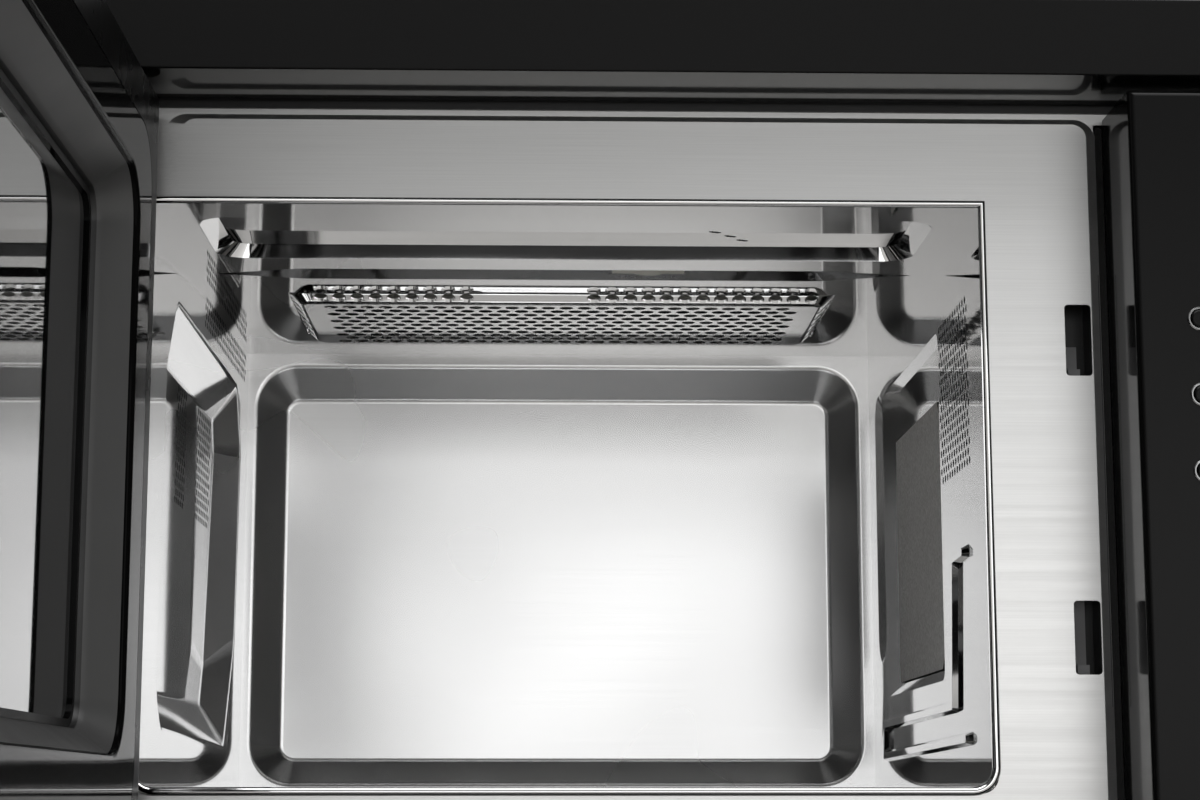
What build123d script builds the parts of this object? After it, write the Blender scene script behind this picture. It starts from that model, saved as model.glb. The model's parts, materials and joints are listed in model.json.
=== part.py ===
from build123d import *
import math
import os

# A built-in microwave oven, with its door standing open at a right angle.
# Millimetres. X runs to the viewer's right, the front looks along -Y, Z is up.
# The origin is in the underside of the base plate, at the middle of the width.

# The front of the appliance, as it shows in the kitchen
front_width = 594.0
front_proud = 46.0
trim_height = 32.0
trim_lift = 3.0
trim_gap = 6.0
front_door_height = 312.0

# The body that slides into the cabinet
body_width = 560.0
body_depth = 386.0
body_height = 375.0
plate_y = -194.0
panel_sheet = 0.8
base_sheet = 1.2
base_flange = 15.0
rear_sheet = 1.2
rail_sheet = 2.0
rail_side_margin = 5.0
rail_flange = 12.0
rail_fold_inset = 6.0
rail_end_clear = 3.0
base_bolt_radius = 2.75
base_bolt_spacing_x = 480.0
base_bolt_spacing_y = 300.0
slot_width = 5.0
base_slot_count = 8
base_slot_pitch = 15.0
base_slot_length = 40.0
base_slot_front = 32.0
side_slot_count = 10
side_slot_pitch = 12.0
side_slot_height = 50.0
side_slot_foot = 250.0
top_slot_count = 12
top_slot_pitch = 10.0
top_slot_length = 90.0
top_rib_width = 60.0
top_rib_length = 260.0
top_rib_height = 1.2
rear_slot_count = 14
rear_slot_pitch = 12.0
rear_slot_height = 40.0
rear_slot_foot = 300.0
screw_head_radius = 3.8
screw_head_height = 2.2
screw_edge_margin = 14.0

# The oven cavity and the steel plate round its mouth
cavity_width = 344.0
cavity_height = 239.0
cavity_depth = 343.0
cavity_sheet = 0.8
door_edge_to_cavity = 30.5
plate_sheet = 1.0
plate_below_cavity = 38.0
plate_above_cavity = 41.0
plate_left_margin = 2.0
mouth_corner = 8.0

# Pressed forms of the cavity walls
back_recess_side = 5.5
back_recess_foot = 3.2
back_recess_head = 7.0
back_recess_depth = 14.0
back_recess_corner = 22.0
back_recess_taper = 45.0
ceiling_pocket_width = 320.0
ceiling_pocket_front = 24.4
ceiling_pocket_rear = 101.7
ceiling_pocket_rise = 7.0
ceiling_pocket_corner = 30.0
left_recess_front = 53.0
left_recess_rear = 308.0
left_recess_foot = 22.0
left_recess_top = 213.0
left_recess_depth = 11.0
left_recess_corner = 26.0
left_recess_taper = 60.0
right_recess_front = 110.0
right_recess_rear = 285.0
right_recess_foot = 50.0
right_recess_top = 208.0
right_recess_depth = 3.0
right_recess_corner = 8.0
right_recess_taper = 25.0
groove_middle = 304.0
groove_width = 24.0
groove_foot = 67.0
groove_top = 210.0
groove_taper = 45.0
floor_dish_radius = 145.0
floor_dish_depth = 5.0

# Punched holes of the side walls and the ceiling
vent_hole = 3.6
vent_pitch = 6.2
vent_row = 4.1
lamp_vent_middle = 68.0
lamp_vent_height = 173.0
steam_vent_middle = 250.0
steam_vent_height = 227.0
left_vent_height = 162.0
left_vent_narrow = 174.5
left_vent_wide = 257.0
grill_hole = 7.0
grill_pitch = 8.8
grill_row = 8.86
grill_columns = 29
grill_rows = 11
grill_front = 179.0
grill_drop = 5.0
grill_border = 7.0
grill_sheet = 0.8
edge_holes = 8
edge_hole_pitch = 16.8

# The door and its swing
door_gap = 1.5
door_to_panel = 3.0
door_angle_open = 90.0
door_wall = 4.0
door_flange = 3.0
door_glass = 4.0
door_corner = 3.0
door_hinge_corner = 10.0
hinge_from_edge = 13.0
hinge_from_plate = 24.5
hinge_pin_radius = 3.0
hinge_running = 0.05
hinge_arm_sheet = 3.0
hinge_arm_half = 9.0
hinge_boss_radius = 7.0
hinge_boss_length = 14.0
choke_side_border = 20.5
choke_border = 19.0
choke_corner = 25.0
choke_sheet = 3.0
choke_clear = 0.2
rim_side_inset = 16.5
rim_foot_inset = 11.8
rim_head_inset = 3.5
rim_corner = 21.0
rim_roll = 2.5
funnel_wall = 2.5
slope_depth = 15.0
slope_inset = 9.0
well_depth = 2.0
well_inset = 0.5
ledge_side = 3.0
ledge_head = 3.0
ledge_foot = 3.0
ledge_sheet = 1.2
window_corner = 9.0
window_pane = 3.0
pane_overlap = 3.0
pan_sheet = 1.2
screen_sheet = 1.0

# The latch
latch_x_from_panel = 13.0
latch_slot_width = 11.0
latch_slot_height = 30.0
latch_slot_corner = 1.6
latch_upper_rise = 183.0
latch_lower_rise = 60.0
latch_x_from_cavity = 40.5
latch_travel = 4.0
hook_width = 5.0
hook_reach = 12.0
hook_half_height = 5.0
hook_barb = 4.0
lever_sheet = 3.0
guide_clear = 0.3

# The control panel
panel_wall = 2.5
panel_face = 3.0
panel_edge_round = 3.0
button_from_panel_edge = 25.0
button_pitch = 30.4
button_middle_rise = 152.6
button_count = 3
button_ring_radius = 4.7
button_bore = 3.9
button_clear = 0.3
button_proud = 1.6
button_travel = 1.5
knob_radius = 25.0
knob_depth = 21.0
knob_stem = 3.0
release_width = 105.0
release_height = 24.0
release_rise = 26.0
release_arm_from_panel = 40.0
release_proud = 3.0
display_width = 95.0
display_height = 32.0
display_drop = 44.0
board_sheet = 1.6
board_depth = 14.0
board_foot = 144.0
board_head = 12.0

# Working parts behind the walls
cover_width = 142.0
cover_height = 124.0
cover_front = 122.0
cover_foot = 54.0
cover_sheet = 0.8
guide_box_depth = 38.0
guide_box_length = 110.0
guide_box_height = 130.0
tube_sheet = 1.2
magnetron_width = 84.0
magnetron_height = 74.0
magnetron_depth = 66.0
core_width = 96.0
core_depth = 82.0
core_height = 84.0
core_x = 178.0
core_y = -62.0
capacitor_width = 52.0
capacitor_depth = 34.0
capacitor_height = 96.0
capacitor_x = 240.0
capacitor_y = 70.0
clamp_foot = 40.0
clamp_band = 18.0
clamp_sheet = 1.2
fan_radius = 54.0
fan_frame = 128.0
fan_depth = 30.0
fan_blades = 7
fan_x = 196.0
fan_z = 190.0
heater_radius = 5.5
reflector_height = 30.0
lamp_radius = 12.0
lamp_from_plate = 71.0
lamp_rise = 150.0
inlet_x = 120.0
inlet_z = 62.0
inlet_half = 16.0
inlet_clear = 0.3
table_motor_radius = 25.0
table_motor_height = 17.0
coupler_radius = 11.0

# Places worked out from the sizes above
front_x0 = -front_width / 2
front_x1 = front_width / 2
front_y = plate_y - front_proud
back_y = plate_y + rail_sheet + body_depth
side_x = body_width / 2
plate_back_y = plate_y + plate_sheet
cavity_x0 = front_x0 + door_edge_to_cavity
cavity_x1 = cavity_x0 + cavity_width
cavity_middle_x = (cavity_x0 + cavity_x1) / 2
cavity_back_y = plate_y + cavity_depth
trim_top_of_foot = trim_lift + trim_height
door_z0 = trim_top_of_foot + trim_gap
door_z1 = door_z0 + front_door_height
head_trim_z0 = door_z1 + trim_gap
head_trim_z1 = head_trim_z0 + trim_height
plate_z0 = door_z0 - trim_gap / 2
floor_z = plate_z0 + plate_below_cavity
ceiling_z = floor_z + cavity_height
plate_z1 = ceiling_z + plate_above_cavity
plate_x0 = front_x0 + plate_left_margin
plate_x1 = front_x1 - rail_side_margin
latch_x = cavity_x1 + latch_x_from_cavity
panel_x0 = latch_x + latch_x_from_panel
panel_x1 = front_x1
panel_middle_x = (panel_x0 + panel_x1) / 2
door_x0 = front_x0
door_x1 = panel_x0 - door_to_panel
door_in_y = plate_y - door_gap
hinge_x = door_x0 + hinge_from_edge
hinge_y = plate_y - hinge_from_plate
wall_out_x = cavity_x1 + right_recess_depth + cavity_sheet
lamp_wall_x = cavity_x1 + cavity_sheet
latch_lower_z = floor_z + latch_lower_rise
latch_upper_z = floor_z + latch_upper_rise
latch_heights = (latch_lower_z, latch_upper_z)
button_middle_z = floor_z + button_middle_rise
knob_x = panel_middle_x
knob_z = button_middle_z
release_z = door_z0 + release_rise
release_x0 = panel_middle_x - release_width / 2
release_x1 = panel_middle_x + release_width / 2
release_arm_x = panel_x0 + release_arm_from_panel
display_z = door_z1 - display_drop
board_y = front_y + board_depth
board_z0 = door_z0 + board_foot
board_z1 = door_z1 - board_head
rim_x0 = cavity_x0 + rim_side_inset
rim_x1 = cavity_x1 - rim_side_inset
rim_z0 = floor_z + rim_foot_inset
rim_z1 = ceiling_z - rim_head_inset
choke_x0 = door_x0 + choke_side_border
choke_x1 = door_x1 - choke_side_border
choke_z0 = door_z0 + choke_border
choke_z1 = door_z1 - choke_border
ledge_inset = slope_inset + well_inset
window_x0 = rim_x0 + ledge_inset + ledge_side
window_x1 = rim_x1 - ledge_inset - ledge_side
window_z0 = rim_z0 + ledge_inset + ledge_foot
window_z1 = rim_z1 - ledge_inset - ledge_head
ledge_y = door_in_y - slope_depth - well_depth
pane_y = ledge_y - ledge_sheet - window_pane
guide_y0 = plate_y + cover_front + 10
guide_z0 = floor_z + cover_foot + 20
tube_x = wall_out_x + guide_box_depth
tube_y = guide_y0 + guide_box_length / 2
tube_z = guide_z0 + guide_box_height - magnetron_height / 2 - 5
grill_length = grill_rows * grill_row + 2 * grill_drop
grill_width = grill_columns * grill_pitch + 2 * grill_drop
grill_y = plate_y + grill_front + grill_length / 2
lamp_y = plate_y + lamp_from_plate
lamp_z = floor_z + lamp_rise
table_y = plate_y + cavity_depth / 2
table_top = floor_z - floor_dish_depth - cavity_sheet


# Small helpers for plain shapes

def block(x0, x1, y0, y1, z0, z1):
    middle = Pos((x0 + x1) / 2, (y0 + y1) / 2, (z0 + z1) / 2)
    return middle * Box(x1 - x0, y1 - y0, z1 - z0)


def rod(start, direction, radius, length):
    face = Plane(origin=start, z_dir=direction) * Circle(radius)
    return extrude(face, length)


def front_plane(x, y, z):
    """A plane that looks along -Y, with its own x to the viewer's right and its own y up."""
    return Plane(origin=(x, y, z), x_dir=(1, 0, 0), z_dir=(0, -1, 0))


def side_plane(x, y=0.0, z=0.0):
    """A plane that looks along +X, with its own x along +Y and its own y up."""
    return Plane(origin=(x, y, z), x_dir=(0, 1, 0), z_dir=(1, 0, 0))


def rounded_slab(x0, x1, z0, z1, y_front, thickness, radius):
    """An upright slab with rounded corners, from its front face backwards."""
    plane = front_plane((x0 + x1) / 2, y_front + thickness, (z0 + z1) / 2)
    return extrude(plane * RectangleRounded(x1 - x0, z1 - z0, radius), thickness)


def staggered(columns, rows, pitch, row):
    """Middles of a staggered punched field, about its own middle."""
    points = []
    for j in range(rows):
        shift = pitch / 4 if j % 2 else -pitch / 4
        for i in range(columns):
            points.append(((i - (columns - 1) / 2) * pitch + shift, (j - (rows - 1) / 2) * row))
    return points


def punches(points, plane, radius, depth):
    """Punch tools for a field of holes, from just behind a plane."""
    place = plane.offset(-depth / 2)
    return [extrude(place * Pos(u, v) * Circle(radius), depth) for u, v in points]


def swing_open(shape):
    """Turn a piece of the closed door to where the open door stands."""
    return shape.rotate(Axis((hinge_x, hinge_y, 0), (0, 0, 1)), -door_angle_open)


# The cavity, five steel sheets behind the front plate

def cavity_ceiling():
    sheet = block(cavity_x0, cavity_x1, plate_back_y, cavity_back_y, ceiling_z, ceiling_z + cavity_sheet)
    pocket_length = ceiling_pocket_rear - ceiling_pocket_front
    pocket_y = plate_y + (ceiling_pocket_front + ceiling_pocket_rear) / 2

    def pocket(grow, rise):
        base = Rectangle(ceiling_pocket_width + 2 * grow, pocket_length + 2 * grow)
        rear = base.vertices().sort_by(Axis.Y)[-2:]
        base = fillet(rear, ceiling_pocket_corner + grow)
        return extrude(Pos(cavity_middle_x, pocket_y, ceiling_z) * base, rise)

    sheet = sheet + pocket(cavity_sheet, ceiling_pocket_rise + cavity_sheet)
    sheet = sheet - pocket(0, ceiling_pocket_rise)
    gap = Pos(cavity_middle_x, grill_y, ceiling_z) * RectangleRounded(grill_width, grill_length, grill_drop)
    sheet = sheet - extrude(gap, cavity_sheet)
    points = []
    for k in range(edge_holes):
        along = (k - (edge_holes - 1) / 2) * edge_hole_pitch
        points.append((grill_width / 2 + grill_border, along))
        points.append((-grill_width / 2 - grill_border, along))
    plane = Plane(origin=(cavity_middle_x, grill_y, ceiling_z + cavity_sheet / 2))
    return sheet - punches(points, plane, grill_hole / 2, 3 * cavity_sheet)


def grill_screen():
    """The pressed and punched tray under the grill, hung by its rim from the ceiling."""
    width, length = grill_width, grill_length
    middle = Pos(cavity_middle_x, grill_y, 0)
    top = ceiling_z + cavity_sheet

    def tray(grow, low, high):
        taper = math.degrees(math.atan2(grill_drop, grill_drop + cavity_sheet))
        face = Pos(0, 0, high) * RectangleRounded(width + 2 * grow, length + 2 * grow, grill_drop + grow)
        return extrude(face, high - low, dir=(0, 0, -1), taper=taper)

    foot = ceiling_z - grill_drop
    shell = tray(0, foot, top) - tray(-grill_sheet, foot + grill_sheet, top)
    rim = Rectangle(width + 2 * grill_border, length + 2 * grill_border)
    rim = rim - Rectangle(width - 2 * grill_sheet, length - 2 * grill_sheet)
    rim = extrude(Pos(0, 0, top) * rim, grill_sheet)
    points = staggered(grill_columns - 1, grill_rows, grill_pitch, grill_row)
    plane = Plane(origin=(0, 0, ceiling_z - grill_drop))
    return middle * ((shell + rim) - punches(points, plane, grill_hole / 2, 4 * grill_sheet))


def pressed_out(sheet, place, width, height, corner, depth, taper):
    """Presses a shallow box with sloping sides out of a sheet, at the sheet's own gauge."""
    grow = cavity_sheet / math.cos(math.radians(taper))
    outer = extrude(place * RectangleRounded(width + 2 * grow, height + 2 * grow, corner + grow),
                    depth + cavity_sheet, taper=taper)
    return sheet + outer - extrude(place * RectangleRounded(width, height, corner), depth, taper=taper)


def side_wall_blank():
    """One flat side wall of the cavity, with its inner face at X = 0 and its outer side towards +X."""
    return block(0, cavity_sheet, plate_back_y, cavity_back_y,
                 floor_z - cavity_sheet, ceiling_z + cavity_sheet)


def side_place(front, rear, foot, top):
    return side_plane(0, plate_y + (front + rear) / 2, floor_z + (foot + top) / 2)


def cavity_right_wall():
    """The right wall, with the recess of the microwave feed, an upright groove and the lamp's holes."""
    place = side_place(right_recess_front, right_recess_rear, right_recess_foot, right_recess_top)
    wall = pressed_out(side_wall_blank(), place, right_recess_rear - right_recess_front,
                       right_recess_top - right_recess_foot, right_recess_corner, right_recess_depth,
                       right_recess_taper)
    half = groove_width / 2
    place = side_place(groove_middle - half, groove_middle + half, groove_foot, groove_top)
    wall = pressed_out(wall, place, groove_width, groove_top - groove_foot, half - 0.1, right_recess_depth,
                       groove_taper)
    lamp_plane = side_plane(cavity_sheet / 2, plate_y + lamp_vent_middle, floor_z + lamp_vent_height)
    field = staggered(13, 18, vent_pitch, vent_row)
    wall = wall - punches(field, lamp_plane, vent_hole / 2, 3 * cavity_sheet)
    port_y = plate_y + cover_front + 25
    port_z = floor_z + cover_foot + 30
    port = block(0, right_recess_depth + 2 * cavity_sheet, port_y, port_y + 80, port_z, port_z + 56)
    return Pos(cavity_x1, 0, 0) * (wall - port)


def cavity_left_wall():
    """The left wall, with one deep recess and three fields of holes for the steam."""
    place = side_place(left_recess_front, left_recess_rear, left_recess_foot, left_recess_top)
    wall = pressed_out(side_wall_blank(), place, left_recess_rear - left_recess_front,
                       left_recess_top - left_recess_foot, left_recess_corner, left_recess_depth,
                       left_recess_taper)
    steam = side_plane(cavity_sheet / 2, plate_y + steam_vent_middle, floor_z + steam_vent_height)
    wall = wall - punches(staggered(26, 4, vent_pitch, vent_row), steam, vent_hole / 2, 3 * cavity_sheet)
    face_x = left_recess_depth + cavity_sheet / 2
    for columns, along in ((5, left_vent_narrow), (9, left_vent_wide)):
        plane = side_plane(face_x, plate_y + along, floor_z + left_vent_height)
        field = staggered(columns, 14, vent_pitch, vent_row)
        wall = wall - punches(field, plane, vent_hole / 2, 3 * cavity_sheet)
    return Pos(cavity_x0, 0, 0) * mirror(wall, about=Plane.YZ)


def cavity_floor():
    """The floor, with a round dish for the turning table and a hole for its drive."""
    sheet = block(cavity_x0, cavity_x1, plate_back_y, cavity_back_y, floor_z - cavity_sheet, floor_z)
    middle_y = plate_y + cavity_depth / 2
    low = floor_z - floor_dish_depth
    sheet = sheet + rod((cavity_middle_x, middle_y, low - cavity_sheet), (0, 0, 1),
                        floor_dish_radius + cavity_sheet, floor_dish_depth + cavity_sheet)
    sheet = sheet - rod((cavity_middle_x, middle_y, low), (0, 0, 1), floor_dish_radius, floor_dish_depth)
    return sheet - rod((cavity_middle_x, middle_y, low - cavity_sheet), (0, 0, 1), 7.0, cavity_sheet)


def cavity_back_wall():
    """The back wall, drawn backwards in a shallow dish with sloping sides."""
    sheet = block(cavity_x0 - cavity_sheet, cavity_x1 + cavity_sheet,
                  cavity_back_y, cavity_back_y + cavity_sheet,
                  floor_z - cavity_sheet, ceiling_z + cavity_sheet)
    width = cavity_width - 2 * back_recess_side
    height = cavity_height - back_recess_foot - back_recess_head
    z = floor_z + back_recess_foot + height / 2
    place = Plane(origin=(cavity_middle_x, cavity_back_y, z), x_dir=(-1, 0, 0), z_dir=(0, 1, 0))
    return pressed_out(sheet, place, width, height, back_recess_corner, back_recess_depth, back_recess_taper)


def front_plate():
    """The brushed plate round the cavity's mouth, which runs on behind the control panel."""
    plate = block(plate_x0, plate_x1, plate_y, plate_back_y, plate_z0, plate_z1)
    mouth = Rectangle(cavity_width, cavity_height)
    mouth = fillet(mouth.vertices().sort_by(Axis.Y)[:2], mouth_corner)
    place = front_plane(cavity_middle_x, plate_back_y, floor_z + cavity_height / 2)
    plate = plate - extrude(place * mouth, plate_sheet)
    for z in latch_heights:
        slot = rounded_slab(latch_x - latch_slot_width / 2, latch_x + latch_slot_width / 2,
                            z - latch_slot_height / 2, z + latch_slot_height / 2,
                            plate_y, plate_sheet, latch_slot_corner)
        plate = plate - slot
    groove = rounded_slab(panel_x0 - 3.3, panel_x0 - 0.5, door_z0 + 5, door_z1 - 2.6,
                          plate_y, plate_sheet, 1.3)
    plate = plate - groove
    plate = plate - block(panel_x0 + 17, panel_x1 - 17, plate_y, plate_back_y, door_z0 + 8, door_z1 - 10)
    for z0, z1 in ((plate_z0, door_z0 + 0.5), (door_z1 - 0.5, plate_z1)):
        reach = hinge_arm_half + 1
        plate = plate - block(hinge_x - reach, hinge_x + reach, plate_y, plate_back_y, z0, z1)
    return plate


# Body panels and rails

def base_plate():
    tray = block(-side_x + panel_sheet, side_x - panel_sheet, plate_y + rail_sheet, back_y, 0, base_flange)
    hollow = block(-side_x + panel_sheet + base_sheet, side_x - panel_sheet - base_sheet,
                   plate_y + rail_sheet + base_sheet, back_y - base_sheet, base_sheet, base_flange)
    tray = tray - hollow
    for x, y in base_bolt_places():
        tray = tray - rod((x, y, 0), (0, 0, 1), base_bolt_radius, base_sheet)
    return tray - slot_row(base_bolt_spacing_x / 2 - base_slot_pitch, -base_slot_pitch, base_slot_count,
                           (plate_y + base_slot_front, plate_y + base_slot_front + base_slot_length),
                           (0, base_sheet))


def slot_row(x, pitch, count, depth, height):
    """Air slots side by side along X."""
    half = slot_width / 2
    return [block(x + i * pitch - half, x + i * pitch + half, *depth, *height) for i in range(count)]


def base_bolt_places():
    half_x = base_bolt_spacing_x / 2
    half_y = base_bolt_spacing_y / 2
    return [(x, y) for x in (-half_x, half_x) for y in (-half_y, half_y)]


def cover_side(side):
    x = side * side_x
    inner = x - side * panel_sheet
    x0, x1 = min(x, inner), max(x, inner)
    sheet = block(x0, x1, plate_y + rail_sheet, back_y, 0, body_height - panel_sheet)
    if side < 0:
        return sheet
    slots = []
    for i in range(side_slot_count):
        y = back_y - slot_width / 2 - (i + 3) * side_slot_pitch
        slots.append(block(x0, x1, y, y + slot_width, side_slot_foot, side_slot_foot + side_slot_height))
    return sheet - slots


def cover_top():
    sheet = block(-side_x, side_x, plate_y + rail_sheet, back_y, body_height - panel_sheet, body_height)
    ribs = []
    for i in range(3):
        outline = RectangleRounded(top_rib_width, top_rib_length, 12)
        place = Pos((i - 1.5) * 2 * top_rib_width, 0, body_height)
        ribs.append(extrude(place * outline, top_rib_height, taper=30))
    last = side_x - 3 * top_slot_pitch
    slot_end = back_y - top_slot_pitch * 4
    return sheet + ribs - slot_row(last, -top_slot_pitch, top_slot_count,
                                   (slot_end - top_slot_length, slot_end),
                                   (body_height - panel_sheet, body_height))


def rear_panel():
    sheet = block(-side_x, side_x, back_y, back_y + rear_sheet, 0, body_height)
    fan_field = []
    for i in range(11):
        for j in range(11):
            u = (i - 5) * 9.4
            v = (j - 5) * 9.4
            if u * u + v * v < fan_radius * fan_radius:
                fan_field.append((u, v))
    place = Plane(origin=(fan_x, back_y + rear_sheet / 2, fan_z), x_dir=(-1, 0, 0), z_dir=(0, 1, 0))
    sheet = sheet - punches(fan_field, place, 3.2, 3 * rear_sheet)
    sheet = sheet - slot_row(-side_x + 4 * rear_slot_pitch, rear_slot_pitch, rear_slot_count,
                             (back_y, back_y + rear_sheet),
                             (rear_slot_foot, rear_slot_foot + rear_slot_height))
    reach = inlet_half + inlet_clear
    return sheet - block(inlet_x - reach, inlet_x + reach, back_y, back_y + rear_sheet,
                         inlet_z - reach, inlet_z + reach)


def front_rails():
    """Two folded rails, above and below the plate, that carry the trim strips and the hinges."""
    fold_x = side_x - rail_fold_inset
    front = plate_y + rail_sheet
    lower = block(plate_x0, plate_x1, plate_y, front, trim_lift + rail_end_clear, plate_z0)
    lower = lower + block(-fold_x, fold_x, front, front + base_sheet, base_flange, plate_z0)
    lower = lower + block(-fold_x, fold_x, front, plate_y + rail_flange, plate_z0 - rail_sheet, plate_z0)
    upper = block(plate_x0, plate_x1, plate_y, front, plate_z1, head_trim_z1 - rail_end_clear)
    under_cover = body_height - panel_sheet
    upper = upper + block(-fold_x, fold_x, front, plate_y + rail_flange,
                          under_cover - rail_sheet, under_cover)
    return Compound([lower, upper])


def trim_strips():
    """The strips above and below the door, hollow mouldings that face the cabinet front."""
    strips = []
    for z0, z1 in ((trim_lift, trim_top_of_foot), (head_trim_z0, head_trim_z1)):
        shell = block(front_x0, front_x1, front_y, plate_y, z0, z1)
        shell = fillet(shell.edges().filter_by(Axis.X).group_by(Axis.Y)[0], 1.0)
        hollow = block(front_x0 + panel_wall, front_x1 - panel_wall, front_y + panel_wall, plate_y,
                       z0 + panel_wall, z1 - panel_wall)
        shell = shell - hollow
        near = z1 if z0 == trim_lift else z0
        relief = block(front_x0, front_x1, plate_y - hinge_arm_sheet - 0.6, plate_y,
                       near - panel_wall - 0.1, near + panel_wall + 0.1)
        strips.append(shell - relief)
    return Compound(strips)


# Hinges

def hinge_brackets():
    """An angle above the door and one below it, each with a flat arm that holds a pin."""
    brackets = []
    for arm_z0, leg_z0, leg_z1 in ((door_z1 + 1, door_z1 + 1, head_trim_z1 - 6),
                                   (door_z0 - 1 - hinge_arm_sheet, trim_lift + 5, door_z0 - 1)):
        arm = block(hinge_x - hinge_arm_half, hinge_x + hinge_arm_half, hinge_y, plate_y,
                    arm_z0, arm_z0 + hinge_arm_sheet)
        arm = arm + rod((hinge_x, hinge_y, arm_z0), (0, 0, 1), hinge_arm_half, hinge_arm_sheet)
        leg = block(hinge_x - hinge_arm_half, hinge_x + hinge_arm_half, plate_y - hinge_arm_sheet, plate_y,
                    leg_z0, leg_z1)
        bore = rod((hinge_x, hinge_y, arm_z0), (0, 0, 1), hinge_pin_radius + hinge_running, hinge_arm_sheet)
        brackets.append(arm + leg - bore)
    return Compound(brackets)


def hinge_pins():
    """Headed pins that drop through the arms into the door's bushes."""
    reach = 1 + hinge_arm_sheet + hinge_boss_length - 2
    pins = []
    for z, inwards in ((door_z1 + 1 + hinge_arm_sheet, -1), (door_z0 - 1 - hinge_arm_sheet, 1)):
        pin = rod((hinge_x, hinge_y, z), (0, 0, inwards), hinge_pin_radius, reach)
        pins.append(pin + rod((hinge_x, hinge_y, z), (0, 0, -inwards), hinge_pin_radius + 2, 1.5))
    return Compound(pins)


# The door, drawn closed and then swung open

def window_funnel(grow):
    """The hollow behind the rim: a slope, and a steeper step down to the ledge."""
    width = rim_x1 - rim_x0 + 2 * grow
    height = rim_z1 - rim_z0 + 2 * grow
    place = front_plane((rim_x0 + rim_x1) / 2, door_in_y, (rim_z0 + rim_z1) / 2)
    slope_taper = math.degrees(math.atan2(slope_inset, slope_depth))
    slope = extrude(place * RectangleRounded(width, height, rim_corner + grow), slope_depth,
                    taper=slope_taper)
    well_taper = math.degrees(math.atan2(well_inset, well_depth))
    well_face = RectangleRounded(width - 2 * slope_inset, height - 2 * slope_inset,
                                 rim_corner - slope_inset + grow)
    return slope + extrude(place.offset(slope_depth) * well_face, well_depth, taper=well_taper)


def door_casing():
    """The moulded shell of the door, with the bushes for the hinge pins."""
    y0 = front_y + door_glass
    shell = block(door_x0, door_x1, y0, door_in_y, door_z0, door_z1)
    corner_edge = shell.edges().filter_by(Axis.Z).sort_by(lambda e: e.center().X - e.center().Y)[0]
    shell = fillet(corner_edge, door_hinge_corner)
    hollow = block(door_x0 + door_wall, door_x1 - door_wall, y0, door_in_y - door_flange,
                   door_z0 + door_wall, door_z1 - door_wall)
    corner_edge = hollow.edges().filter_by(Axis.Z).sort_by(lambda e: e.center().X - e.center().Y)[0]
    hollow = fillet(corner_edge, door_hinge_corner - door_wall)
    shell = shell - hollow
    shell = shell - rounded_slab(choke_x0, choke_x1, choke_z0, choke_z1,
                                 door_in_y - door_flange, door_flange, choke_corner)
    for z in latch_heights:
        shell = shell - block(latch_x - hook_width / 2 - 1, latch_x + hook_width / 2 + 1,
                              door_in_y - door_flange, door_in_y, z - 12, z + 12)
    for top in (True, False):
        face_z = door_z1 - door_wall if top else door_z0 + door_wall
        way = (0, 0, -1) if top else (0, 0, 1)
        edge_z = door_z1 if top else door_z0
        boss = rod((hinge_x, hinge_y, face_z), way, hinge_boss_radius, hinge_boss_length)
        web_z1 = face_z - hinge_boss_length if top else face_z + hinge_boss_length
        web = block(door_x0 + door_wall, hinge_x, hinge_y - 1.5, hinge_y + 1.5,
                    min(face_z, web_z1), max(face_z, web_z1))
        shell = shell + boss + web
        bore_radius = hinge_pin_radius + hinge_running
        shell = shell - rod((hinge_x, hinge_y, edge_z), way, bore_radius, hinge_boss_length + 1)
    return shell


def door_outer_glass():
    return rounded_slab(door_x0, door_x1, door_z0, door_z1, front_y, door_glass, door_corner)


def door_choke_cover():
    """The glossy inner frame, which slopes down to a narrow ledge round the window."""
    ring = rounded_slab(choke_x0 + choke_clear, choke_x1 - choke_clear,
                        choke_z0 + choke_clear, choke_z1 - choke_clear,
                        door_in_y - choke_sheet, choke_sheet, choke_corner - choke_clear)
    cover = ring + window_funnel(funnel_wall) - window_funnel(0)
    mouth = cover.edges().group_by(Axis.Y)[-1].filter_by(lambda e: on_rim(e.center()))
    cover = fillet(mouth, rim_roll)
    inset = ledge_inset - funnel_wall
    ledge = rounded_slab(rim_x0 + inset, rim_x1 - inset, rim_z0 + inset, rim_z1 - inset,
                         ledge_y - ledge_sheet, ledge_sheet, rim_corner - inset)
    return cover + ledge - rounded_slab(window_x0, window_x1, window_z0, window_z1,
                                        ledge_y - ledge_sheet, ledge_sheet, window_corner)


def on_rim(point):
    """Whether a point of the door's inner face lies on the rim rather than on the outline."""
    return rim_x0 - 1 < point.X < rim_x1 + 1 and rim_z0 - 1 < point.Z < rim_z1 + 1


def behind_window(grow, y_front, thickness, corner):
    """A slab behind the window, with the same middle and a margin all round."""
    return rounded_slab(window_x0 - grow, window_x1 + grow, window_z0 - grow, window_z1 + grow,
                        y_front, thickness, corner)


def door_inner_glass():
    return behind_window(pane_overlap, pane_y, window_pane, window_corner)


def door_pan():
    """The folded steel tray that holds the microwaves in."""
    y0 = pane_y - screen_sheet - pan_sheet
    x0, x1 = choke_x0 + 1, choke_x1 - 1
    z0, z1 = choke_z0 + 1, choke_z1 - 1
    pan = block(x0, x1, y0, door_in_y - choke_sheet, z0, z1)
    pan = fillet(pan.edges().filter_by(Axis.Y), choke_corner)
    hollow = block(x0 + pan_sheet, x1 - pan_sheet, y0 + pan_sheet, door_in_y - choke_sheet,
                   z0 + pan_sheet, z1 - pan_sheet)
    pan = pan - fillet(hollow.edges().filter_by(Axis.Y), choke_corner - pan_sheet)
    return pan - behind_window(-1.0, y0, pan_sheet, window_corner)


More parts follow.
